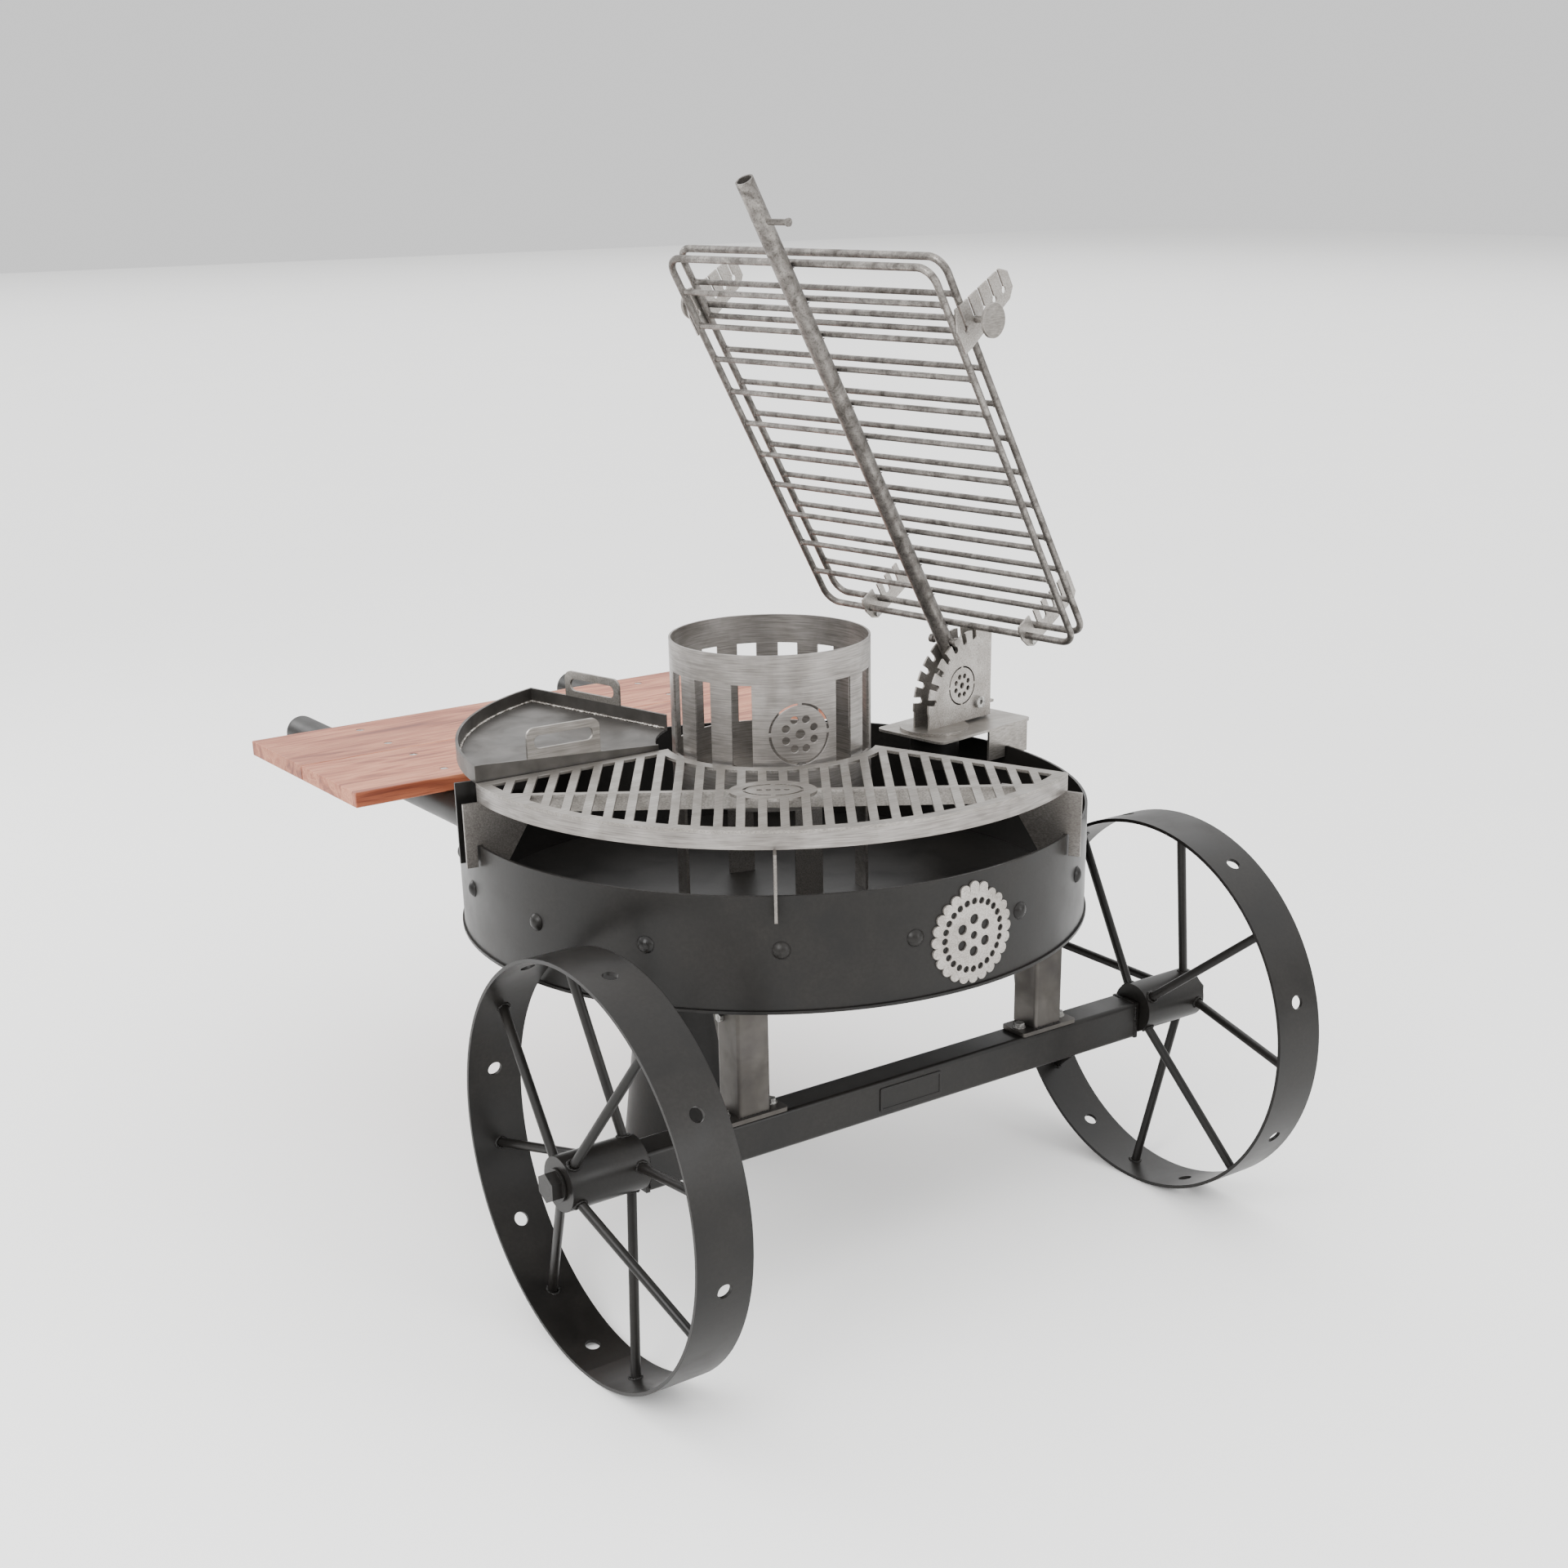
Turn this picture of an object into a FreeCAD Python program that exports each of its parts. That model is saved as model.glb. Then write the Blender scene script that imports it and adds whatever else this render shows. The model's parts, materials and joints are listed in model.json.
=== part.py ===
import FreeCAD, Part
import math
import os

V = FreeCAD.Vector
UP = V(0, 0, 1)

# Two-wheeled fire-pit cart. Millimetres. The origin is on the floor, under the middle of
# the axle line. +X runs along the axle, +Y points to the push handles, +Z is up.

# ---- wheels and axle -------------------------------------------------------------------
wheel_radius = 285.0
rim_width = 80.0
rim_thickness = 5.0
rim_inner_x = 448.5
rim_hole_radius = 10.0
spoke_count = 8
spoke_radius = 6.5
left_spoke_phase = 32.5
right_spoke_phase = 6.0
hub_radius = 37.0
hub_wall = 5.0
hub_bush_length = 12.0
hub_inner_x = 436.5
hub_length = 113.5
hub_spoke_inset = 12.0
axle_radius = 12.0
running_fit = 0.05
end_play = 1.0
washer_radius = 22.0
washer_thickness = 3.0
nut_height = 15.0
nut_across_corners = 41.0

# ---- beam and legs ---------------------------------------------------------------------
beam_half_length = 427.0
beam_front_y = -17.0
beam_depth = 50.0
beam_height = 55.0
beam_drop = 41.0
beam_wall = 4.0
beam_corner = 6.0
beam_end_plate = 6.0
plaque_length = 108.0
plaque_height = 35.0
plaque_thickness = 1.5
plaque_border = 4.0
plaque_floor = 0.7
leg_x = 257.0
leg_width = 50.0
leg_wall = 4.0
leg_corner = 5.0
gusset_top = 57.0
gusset_bottom = 6.0
gusset_thickness = 5.0
foot_plate_corner = 5.0
leg_front_y = -12.0
foot_plate_length = 100.0
foot_plate_thickness = 6.0
leg_bolt_radius = 4.0
bolt_hole_gap = 0.1
leg_bolt_head = 5.5
rear_leg_y = 575.0
rear_leg_foot_radius = 100.0
rear_leg_top_radius = 45.0
rear_leg_wall = 4.0
flange_bolt_y = 26.0
flange_bolt_z = 438.0

# ---- fire bowl -------------------------------------------------------------------------
bowl_y = 306.0
bowl_radius = 450.0
bowl_wall = 4.0
bowl_bottom = 468.0
bowl_rim = 622.0
floor_thickness = 4.0
floor_lip = 3.0
rivet_count = 16
rivet_head_radius = 12.0
rivet_head_height = 7.0
rivet_height = 550.0
badge_thickness = 3.0
badge_half_width = 66.0
badge_z = 538.0
badge_scallop = 7.5
badge_lobes = 24
badge_petals = 6
badge_petal_radius = 7.0
badge_petal_distance = 22.0
badge_stud_pitch = 15.0
badge_stud_height = 66.0

# ---- handles and shelf -----------------------------------------------------------------
handle_x = 269.5
handle_radius = 28.5
handle_wall = 3.0
handle_end_y = 1357.0
shelf_front_y = 765.0
plank_width = 196.0
plank_gap = 1.0
plank_thickness = 24.0
shelf_half_length = 440.0
screw_radius = 7.0
screw_proud = 1.2
screw_edge = 45.0

# ---- fire basket -----------------------------------------------------------------------
basket_radius = 141.4
basket_wall = 3.0
basket_top = 856.0
basket_bottom = 640.0
basket_slots = 13
basket_slot_pitch = 24.9
basket_slot_width = 29.0
basket_slot_top = 815.0
basket_slot_bottom = 700.0
basket_panel_azimuth = -110.5
basket_mark_height = 747.0
basket_mark_radius = 43.0
basket_mark_turn = 2.0
basket_leg_width = 40.0
basket_leg_thickness = 4.0
basket_leg_azimuth = -104.0
basket_floor_thickness = 4.0

# ---- slotted grate ---------------------------------------------------------------------
grate_azimuth = -124.5
grate_half_angle = 57.0
grate_side_offset = 43.0
grate_inner_radius = 152.0
grate_outer_radius = 446.0
grate_top = 706.0
grate_thickness = 4.0
grate_border = 16.0
grate_slot_pitch = 28.0
grate_slot_width = 16.5
grate_web_distance = 262.0
grate_web_width = 10.0
grate_skirt_height = 21.0
grate_skirt_thickness = 4.0
grate_bar_height = 20.0
oval_half_length = 58.0
oval_half_width = 44.0

# ---- hooks that hang a cooking surface on the rim -----------------------------------
hook_thickness = 4.0
hook_reach = 18.0
hook_drop = 30.0
hook_notch_gap = 2.0
hook_inner_top = 352.0
hook_inner_bottom = 409.0
hook_tip_angle = 62.2

# ---- griddle ---------------------------------------------------------------------------
griddle_half_angle = 37.0
griddle_gap = 5.0
griddle_inner_radius = 165.0
griddle_outer_radius = 444.0
griddle_bottom = 704.0
griddle_thickness = 4.0
griddle_wall_top = 728.0
griddle_wall_low = 712.0
griddle_handle_length = 112.0
griddle_handle_height = 38.0
griddle_handle_band = 11.0
griddle_handle_distance = 322.0
griddle_hook_angle = 28.5

# ---- turret on the rim -----------------------------------------------------------------
arm_azimuth = 9.5
turret_radius = 349.0
bracket_top = 656.0
bracket_plate = 4.0
bracket_inner = 290.0
bracket_outer = 503.0
bracket_corner = 12.0
index_hole_gap = 0.3
bracket_half_width = 68.0
bracket_flange_inner = 400.0
bracket_flange_bottom = 606.0
sleeve_radius = 38.0
sleeve_bottom = 600.0
spigot_radius = 30.0
disc_radius = 53.0
disc_thickness = 4.5
quadrant_gap = 26.6
quadrant_thickness = 3.0
pivot_radius = 433.0
pivot_height = 685.0
quadrant_radius = 116.0
quadrant_back = 462.0
notch_count = 7
notch_pitch = 12.5
notch_width = 9.0
pin_seat = 103.0
pivot_bolt_radius = 6.0
index_pin_radius = 3.0
index_distance = 470.0

# ---- swing arm and grill clamp ---------------------------------------------------------
arm_tilt = 58.7
arm_tube_radius = 12.5
arm_tube_wall = 2.5
arm_tube_start = -16.0
arm_tube_length = 905.0
peg_distance = 829.0
peg_radius = 4.0
peg_reach = 34.0
lock_pin_radius = 4.0
lock_pin_travel = 18.0
lock_pin_reach = 27.0
grill_start = 144.0
grill_end = 757.0
grill_half_width = 247.0
grill_corner = 24.0
frame_rod_radius = 5.0
cross_rod_radius = 4.0
cross_rod_count = 10
cross_rod_first = 61.0
cross_rod_pitch = 55.4
clamp_gap = 24.2
notch_bracket_side = 157.0
side_plate_thickness = 3.0
slide_gap = 0.3
latch_distance = 660.0
latch_pitch = 21.2
latch_slot_width = 3.4
latch_seat_radius = 4.5
latch_rod_radius = 4.3
latch_flat = 3.0
disc_grip_radius = 22.0
disc_grip_thickness = 5.0
disc_grip_side = 281.0

# ---- lengths worked out from the sizes above -------------------------------------------
beam_bottom = wheel_radius - beam_drop
beam_top = beam_bottom + beam_height
beam_mid_y = beam_front_y + beam_depth / 2
bowl_inner = bowl_radius - bowl_wall
floor_bottom = bowl_bottom - floor_thickness
leg_base = beam_top + foot_plate_thickness
handle_z = rivet_height - 0.5
shelf_z = handle_z + handle_radius
near_plane = arm_tube_radius + frame_rod_radius
far_plane = near_plane + clamp_gap
latch_rod_plane = far_plane + frame_rod_radius + latch_rod_radius + slide_gap
hook_top = grate_top - grate_thickness - grate_skirt_height
grate_apex = -grate_side_offset / math.sin(math.radians(grate_half_angle))
griddle_azimuth = grate_azimuth - grate_half_angle - griddle_half_angle
griddle_offset = grate_side_offset + griddle_gap
griddle_apex = griddle_offset / math.sin(math.radians(griddle_half_angle))
griddle_floor_top = griddle_bottom + griddle_thickness
lock_pin_rest = pin_seat + lock_pin_travel
disc_top = bracket_top + disc_thickness
quadrant_outer = quadrant_gap / 2 + quadrant_thickness
BIG = 2000.0


# ---- small makers ----------------------------------------------------------------------
def block(x0, x1, y0, y1, z0, z1):
    """A box between two corners."""
    return Part.makeBox(x1 - x0, y1 - y0, z1 - z0, V(x0, y0, z0))


def rod(radius, start, end):
    """A round bar from one point to another."""
    run = end - start
    return Part.makeCylinder(radius, run.Length, start, run)


def pipe(outer, inner, start, end):
    """A round tube from one point to another."""
    return rod(outer, start, end).cut(rod(inner, start, end))


def prism_xy(points, z0, z1):
    """A polygon in the XY plane, from z0 up to z1."""
    ring = [V(x, y, z0) for x, y in points]
    wire = Part.makePolygon(ring + [ring[0]])
    return Part.Face(wire).extrude(V(0, 0, z1 - z0))


def prism_xz(points, y0, y1):
    """A polygon in the XZ plane, from y0 to y1."""
    ring = [V(x, y0, z) for x, z in points]
    wire = Part.makePolygon(ring + [ring[0]])
    return Part.Face(wire).extrude(V(0, y1 - y0, 0))


def prism_yz(points, x0, x1):
    """A polygon in the YZ plane, from x0 to x1."""
    ring = [V(x0, y, z) for y, z in points]
    wire = Part.makePolygon(ring + [ring[0]])
    return Part.Face(wire).extrude(V(x1 - x0, 0, 0))


def hexagon(across_corners, height, start, direction):
    """A hexagonal bolt head or nut standing on start."""
    ring = []
    for k in range(7):
        angle = math.radians(60 * k)
        ring.append(V(across_corners / 2 * math.cos(angle), across_corners / 2 * math.sin(angle), 0))
    solid = Part.Face(Part.makePolygon(ring)).extrude(V(0, 0, height))
    solid.Placement = FreeCAD.Placement(start, FreeCAD.Rotation(UP, direction))
    return solid


def rounded(shape, radius, direction):
    """The shape with its edges along one direction rounded."""
    edges = []
    for edge in shape.Edges:
        run = edge.Vertexes[-1].Point - edge.Vertexes[0].Point
        if run.Length > 0 and abs(run.normalize().dot(direction)) > 0.999:
            edges.append(edge)
    return shape.makeFillet(radius, edges)


def fuse(shapes):
    """One clean solid from several that touch."""
    whole = shapes[0]
    if len(shapes) > 1:
        whole = shapes[0].multiFuse(shapes[1:])
    return whole.removeSplitter()


def moved(shape, origin, x_axis, y_axis):
    """A shape drawn in local axes, carried to its place."""
    z_axis = x_axis.cross(y_axis)
    place = FreeCAD.Placement(origin, FreeCAD.Rotation(x_axis, y_axis, z_axis, "ZXY"))
    copy = shape.copy()
    copy.Placement = place.multiply(copy.Placement)
    return copy


def radial(shape, azimuth):
    """Local x points away from the bowl's axis at this azimuth; local z stays up."""
    angle = math.radians(azimuth)
    out = V(math.cos(angle), math.sin(angle), 0)
    return moved(shape, V(0, bowl_y, 0), out, UP.cross(out))


def turret_place(shape):
    """Local x points away from the bowl's axis through the turret."""
    return radial(shape, arm_azimuth)


def arm_axes():
    """The direction along the arm, and the one square to its upper side."""
    angle = math.radians(arm_azimuth)
    tilt = math.radians(arm_tilt)
    out = V(math.cos(angle), math.sin(angle), 0)
    along = out * -math.cos(tilt) + UP * math.sin(tilt)
    above = out * math.sin(tilt) + UP * math.cos(tilt)
    return along, above


def pivot_point():
    """The middle of the arm's pivot."""
    angle = math.radians(arm_azimuth)
    out = V(math.cos(angle), math.sin(angle), 0)
    return V(0, bowl_y, 0) + out * pivot_radius + UP * pivot_height


def arm_place(shape):
    """Local x runs up the arm, local y to its upper side, local z across it."""
    along, above = arm_axes()
    return moved(shape, pivot_point(), along, above)


def write(name, shapes):
    """Save one node, as one solid or as a set of separate ones."""
    shape = shapes if not isinstance(shapes, list) else Part.makeCompound(shapes)
    shape.exportStep("parts/" + name + ".step")


# ---- wheels ----------------------------------------------------------------------------
def wheel_rim(side, phase):
    """The flat band, with a round hole midway between each two spokes."""
    x0 = side * rim_inner_x
    x1 = side * (rim_inner_x + rim_width)
    centre = V(0, 0, wheel_radius)
    band = pipe(wheel_radius, wheel_radius - rim_thickness, centre + V(x0, 0, 0), centre + V(x1, 0, 0))
    for k in range(spoke_count):
        angle = math.radians(phase + (k + 0.5) * 360 / spoke_count)
        out = V(0, math.cos(angle), math.sin(angle))
        start = centre + V((x0 + x1) / 2, 0, 0) + out * (wheel_radius - 3 * rim_thickness)
        band = band.cut(rod(rim_hole_radius, start, start + out * (6 * rim_thickness)))
    return band


def wheel_spokes(side, phase):
    """Round spokes that start in turn at the hub's outer and inner end."""
    centre = V(0, 0, wheel_radius)
    middle = side * (rim_inner_x + rim_width / 2)
    near_end = side * (hub_inner_x + hub_spoke_inset)
    far_end = side * (hub_inner_x + hub_length - hub_spoke_inset)
    inside = rod(wheel_radius - rim_thickness, centre + V(-BIG, 0, 0), centre + V(BIG, 0, 0))
    hub = rod(hub_radius, centre + V(-BIG, 0, 0), centre + V(BIG, 0, 0))
    spokes = []
    for k in range(spoke_count):
        angle = math.radians(phase + k * 360 / spoke_count)
        out = V(0, math.cos(angle), math.sin(angle))
        root_x = far_end if k % 2 == 0 else near_end
        start = centre + V(root_x, 0, 0) + out * (hub_radius - spoke_radius)
        end = centre + V(middle, 0, 0) + out * wheel_radius
        spokes.append(rod(spoke_radius, start, end).common(inside).cut(hub))
    return spokes


def wheel_hub(side):
    """A tube with a bush at each end that runs on the axle."""
    centre = V(0, 0, wheel_radius)
    start = centre + V(side * hub_inner_x, 0, 0)
    end = centre + V(side * (hub_inner_x + hub_length), 0, 0)
    bush = V(side * hub_bush_length, 0, 0)
    body = rod(hub_radius, start, end)
    body = body.cut(rod(hub_radius - hub_wall, start + bush, end - bush))
    return body.cut(rod(axle_radius + running_fit, start, end))


def axle(side):
    """The end plate of the beam with its stub axle."""
    x0 = side * beam_half_length
    x1 = side * (beam_half_length + beam_end_plate)
    low_x = min(x0, x1)
    high_x = max(x0, x1)
    back_y = beam_front_y + beam_depth
    plate = block(low_x, high_x, beam_front_y, back_y, beam_bottom, beam_top)
    tip = side * (hub_inner_x + hub_length + end_play + washer_thickness + nut_height)
    stub = rod(axle_radius, V(x0, 0, wheel_radius), V(tip, 0, wheel_radius))
    return fuse([plate, stub])


def axle_nuts():
    """A washer and a nut at each end of the axle."""
    pieces = []
    for side in (-1, 1):
        face = hub_inner_x + hub_length + end_play
        start = V(side * face, 0, wheel_radius)
        seat = V(side * (face + washer_thickness), 0, wheel_radius)
        tip = seat + V(side * nut_height, 0, 0)
        nut = hexagon(nut_across_corners, nut_height, seat, V(side, 0, 0))
        pieces.append(pipe(washer_radius, axle_radius, start, seat))
        pieces.append(nut.cut(rod(axle_radius, seat, tip)))
    return pieces


# ---- beam and legs ---------------------------------------------------------------------
def beam():
    """The square tube between the wheels."""
    back_y = beam_front_y + beam_depth
    outer = block(-beam_half_length, beam_half_length, beam_front_y, back_y, beam_bottom, beam_top)
    outer = rounded(outer, beam_corner, V(1, 0, 0))
    y0 = beam_front_y + beam_wall
    y1 = back_y - beam_wall
    inner = block(-beam_half_length, beam_half_length, y0, y1, beam_bottom + beam_wall, beam_top - beam_wall)
    tube = outer.cut(inner)
    for x, y in leg_bolt_places():
        radius = leg_bolt_radius + bolt_hole_gap
        tube = tube.cut(rod(radius, V(x, y, beam_top - 2 * beam_wall), V(x, y, beam_top + beam_wall)))
    return tube


def beam_plaque():
    """A plain raised plaque on the front of the beam."""
    middle = (beam_bottom + beam_top) / 2
    half = plaque_length / 2
    low = middle - plaque_height / 2
    high = middle + plaque_height / 2
    plate = block(-half, half, beam_front_y - plaque_thickness, beam_front_y, low, high)
    recess = block(-half + plaque_border, half - plaque_border, beam_front_y - plaque_thickness, beam_front_y - plaque_floor,
                   low + plaque_border, high - plaque_border)
    return rounded(plate, 3.0, V(0, 1, 0)).cut(recess)


def leg_bolt_places():
    """Where the foot plates are bolted to the beam."""
    places = []
    for side in (-1, 1):
        for step in (-1, 1):
            x = side * leg_x + step * (leg_width + foot_plate_length) / 4
            places.append((x, beam_mid_y))
    return places


def leg(side):
    """A square tube with a tapered gusset behind it, welded to its foot plate."""
    x0 = side * leg_x - leg_width / 2
    x1 = x0 + leg_width
    y0 = leg_front_y
    y1 = y0 + leg_width
    tube = rounded(block(x0, x1, y0, y1, leg_base, floor_bottom), leg_corner, UP)
    hollow = block(x0 + leg_wall, x1 - leg_wall, y0 + leg_wall, y1 - leg_wall, leg_base, floor_bottom)
    outline = [(y1, leg_base), (y1 + gusset_bottom, leg_base), (y1 + gusset_top, floor_bottom), (y1, floor_bottom)]
    gusset = prism_yz(outline, side * leg_x - gusset_thickness / 2, side * leg_x + gusset_thickness / 2)
    half = foot_plate_length / 2
    back_y = beam_front_y + beam_depth
    plate = block(side * leg_x - half, side * leg_x + half, beam_front_y, back_y, beam_top, leg_base)
    plate = rounded(plate, foot_plate_corner, UP)
    for x, y in leg_bolt_places():
        radius = leg_bolt_radius + bolt_hole_gap
        plate = plate.cut(rod(radius, V(x, y, beam_top), V(x, y, leg_base)))
    post = tube.cut(hollow).fuse(gusset)
    base = block(x0, x1, y0, back_y, beam_top, leg_base)
    return fuse([post, plate, base])


def leg_bolts():
    """Hexagon bolts through the foot plates into the beam."""
    bolts = []
    for x, y in leg_bolt_places():
        washer = rod(9.0, V(x, y, leg_base), V(x, y, leg_base + 1.6))
        head = hexagon(15.0, leg_bolt_head, V(x, y, leg_base + 1.6), UP)
        shank = rod(leg_bolt_radius, V(x, y, beam_top - beam_wall - 3), V(x, y, leg_base + 1.6))
        bolts.append(fuse([shank, washer, head]))
    for side in (-1, 1):
        face = side * leg_x - leg_width / 2
        start = V(face, flange_bolt_y, flange_bolt_z)
        bolts.append(hexagon(13.0, leg_bolt_head, start, V(-1, 0, 0)))
    return bolts


def rear_leg():
    """The hollow cone that carries the back of the bowl, closed underneath."""
    base = V(0, rear_leg_y, 0)
    outer = Part.makeCone(rear_leg_foot_radius, rear_leg_top_radius, floor_bottom, base)
    wall = rear_leg_wall
    height = floor_bottom - wall
    inner = Part.makeCone(rear_leg_foot_radius - wall, rear_leg_top_radius - wall, height, base + UP * wall)
    return outer.cut(inner)


# ---- bowl ------------------------------------------------------------------------------
def bowl_cylinder(radius, z0, z1):
    """An upright cylinder on the bowl's axis."""
    return rod(radius, V(0, bowl_y, z0), V(0, bowl_y, z1))


def bowl_ring():
    """The rolled side wall."""
    return bowl_cylinder(bowl_radius, bowl_bottom, bowl_rim).cut(bowl_cylinder(bowl_inner, bowl_bottom, bowl_rim))


def bowl_floor():
    """The flat floor, a little wider than the wall."""
    return bowl_cylinder(bowl_radius + floor_lip, floor_bottom, bowl_bottom)


def bowl_rivets():
    """Domed rivet heads round the wall, left out where a push tube is welded on."""
    a = rivet_head_radius
    h = rivet_head_height
    ball = (a * a + h * h) / (2 * h)
    wall = bowl_cylinder(bowl_radius, 0, BIG)
    heads = []
    for k in range(rivet_count):
        azimuth = -90 + (k + 0.5) * 360 / rivet_count
        across = abs(bowl_radius * math.cos(math.radians(azimuth)))
        under_handle = abs(across - handle_x) < handle_radius + rivet_head_radius
        if under_handle and math.sin(math.radians(azimuth)) > 0:
            continue
        sphere = Part.makeSphere(ball, V(bowl_radius + h - ball, 0, rivet_height))
        heads.append(radial(sphere, azimuth).cut(wall))
    return heads


def bowl_badge():
    """A plain pierced medallion with a scalloped edge, wrapped round the front of the wall."""
    half = badge_half_width
    reach = V(0, BIG, 0)
    middle = V(0, -BIG, badge_z)
    body = rod(half - badge_scallop, middle, middle + reach)
    lobes = []
    holes = []
    for k in range(badge_lobes):
        angle = math.radians(k * 360 / badge_lobes)
        out = V(math.cos(angle), 0, math.sin(angle))
        lobes.append(rod(badge_scallop, middle + out * (half - badge_scallop), middle + out * (half - badge_scallop) + reach))
        spot = middle + out * (half - 2.6 * badge_scallop)
        holes.append(rod(badge_scallop * 0.62, spot, spot + reach))
    for k in range(badge_petals):
        angle = math.radians((k + 0.5) * 360 / badge_petals)
        spot = middle + V(math.cos(angle), 0, math.sin(angle)) * badge_petal_distance
        holes.append(rod(badge_petal_radius, spot, spot + reach))
    for k in (-1, 0, 1):
        spot = V(k * badge_stud_pitch, -BIG, badge_z + badge_stud_height - abs(k) * badge_scallop / 2)
        lobes.append(rod(badge_scallop, spot, spot + reach))
    holes.append(rod(badge_petal_radius * 0.8, middle, middle + reach))
    body = body.multiFuse(lobes).cut(holes)
    outer = bowl_cylinder(bowl_radius + badge_thickness, bowl_bottom, bowl_rim)
    shell = outer.cut(bowl_cylinder(bowl_radius, bowl_bottom, bowl_rim))
    front = block(-bowl_radius, bowl_radius, -BIG, 0, 0, BIG)
    return body.common(shell.common(front))


# ---- handles and shelf -----------------------------------------------------------------
def handle(side):
    """A push tube welded to the back of the bowl."""
    start = V(side * handle_x, bowl_y, handle_z)
    end = V(side * handle_x, handle_end_y, handle_z)
    tube = pipe(handle_radius, handle_radius - handle_wall, start, end)
    return tube.cut(bowl_cylinder(bowl_radius, 0, BIG))


def handle_caps():
    """A domed plug in the end of each push tube."""
    caps = []
    for side in (-1, 1):
        mouth = V(side * handle_x, handle_end_y, handle_z)
        plug = rod(handle_radius - handle_wall, mouth - V(0, 20, 0), mouth)
        collar = rod(handle_radius, mouth, mouth + V(0, 8, 0))
        collar = collar.makeFillet(6.0, [collar.Edges[0]])
        caps.append(fuse([plug, collar]))
    return caps


def plank(index):
    """One board of the shelf, drilled for its screws."""
    y0 = shelf_front_y + index * (plank_width + plank_gap)
    y1 = y0 + plank_width
    board = block(-shelf_half_length, shelf_half_length, y0, y1, shelf_z, shelf_z + plank_thickness)
    board = board.makeFillet(2.0, board.Edges)
    for x, y in screw_places(index):
        board = board.cut(rod(screw_radius, V(x, y, shelf_z + plank_thickness - 4), V(x, y, BIG)))
    return board


def screw_places(index):
    """Two screws over each push tube."""
    y0 = shelf_front_y + index * (plank_width + plank_gap)
    places = []
    for side in (-1, 1):
        for y in (y0 + screw_edge, y0 + plank_width - screw_edge):
            places.append((side * handle_x, y))
    return places


def shelf_screws():
    """Round-headed screws, sunk in the boards."""
    heads = []
    top = shelf_z + plank_thickness
    for index in (0, 1):
        for x, y in screw_places(index):
            heads.append(rod(screw_radius, V(x, y, top - 4), V(x, y, top - 4 + screw_proud + 2)))
    return heads


# ---- fire basket -----------------------------------------------------------------------
def mark_cutter(radius, x0, x1, y, z):
    """A broken ring round a rosette, cut along x: a plain round mark."""
    ring = pipe(radius, radius * 0.92, V(x0, y, z), V(x1, y, z))
    bridge = radius * 0.06
    ring = ring.cut(block(x0, x1, y - bridge, y + bridge, z - BIG, z + BIG))
    ring = ring.cut(block(x0, x1, y - BIG, y + BIG, z - bridge, z + bridge))
    holes = [ring, rod(radius * 0.16, V(x0, y, z), V(x1, y, z))]
    for k in range(8):
        angle = math.radians(45 * k + 22.5)
        cy = y + radius * 0.5 * math.cos(angle)
        cz = z + radius * 0.5 * math.sin(angle)
        holes.append(rod(radius * 0.13, V(x0, cy, cz), V(x1, cy, cz)))
    return Part.makeCompound(holes)


def basket_shell():
    """The rolled sleeve with upright slots and one plain panel."""
    inner = basket_radius - basket_wall
    shell = bowl_cylinder(basket_radius, basket_bottom, basket_top)
    shell = shell.cut(bowl_cylinder(inner, basket_bottom, basket_top))
    half = basket_slot_width / 2
    first = basket_panel_azimuth + (360 - (basket_slots - 1) * basket_slot_pitch) / 2
    cutters = []
    for k in range(basket_slots):
        slot = block(inner - 20, basket_radius + 20, -half, half, basket_slot_bottom, basket_slot_top)
        cutters.append(radial(slot, first + k * basket_slot_pitch))
    mark = mark_cutter(basket_mark_radius, inner - 20, basket_radius + 20, 0, basket_mark_height)
    cutters.append(radial(mark, basket_panel_azimuth + basket_mark_turn))
    return shell.cut(cutters)


def slab(z0, z1):
    """Everything round the bowl's axis between two heights."""
    return bowl_cylinder(bowl_radius, z0, z1)


def basket_bands(sleeve):
    """The plain band under the slots and the one over them."""
    lower = sleeve.common(slab(basket_bottom, basket_slot_bottom))
    upper = sleeve.common(slab(basket_slot_top, basket_top))
    return lower, upper


def basket_walls(sleeve):
    """The panel with the mark, and the narrow bars between the slots."""
    pieces = sleeve.common(slab(basket_slot_bottom, basket_slot_top)).Solids
    pieces = sorted(pieces, key=lambda piece: piece.Volume)
    return pieces[-1], pieces[:-1]


def basket_legs():
    """Four flat legs under the sleeve."""
    legs = []
    half = basket_leg_width / 2
    for k in range(4):
        bar = block(basket_radius - basket_leg_thickness - 1, basket_radius - 1, -half, half, bowl_bottom, basket_bottom)
        legs.append(radial(bar, basket_leg_azimuth + 90 * k))
    return legs


def basket_floor():
    """The pierced floor that carries the embers."""
    inner = basket_radius - basket_wall
    z1 = basket_bottom + basket_floor_thickness
    disc = bowl_cylinder(inner, basket_bottom, z1)
    cutters = []
    for k in range(12):
        slot = block(45, 112, -6, 6, basket_bottom, z1)
        cutters.append(radial(rounded(slot, 5.9, UP), 30 * k))
    return disc.cut(cutters)


# ---- cooking surfaces ------------------------------------------------------------------
def sector(inner, outer, half_angle, apex, z0, z1):
    """A ring sector whose straight sides meet at apex, measured out along its middle."""
    reach = 3 * outer
    angle = math.radians(half_angle)
    left = (apex + reach * math.cos(angle), reach * math.sin(angle))
    right = (apex + reach * math.cos(angle), -reach * math.sin(angle))
    wedge = prism_xy([(apex, 0), right, left], z0, z1)
    ring = rod(outer, V(0, 0, z0), V(0, 0, z1))
    if inner > 0:
        ring = ring.cut(rod(inner, V(0, 0, z0), V(0, 0, z1)))
    return ring.common(wedge)


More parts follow.
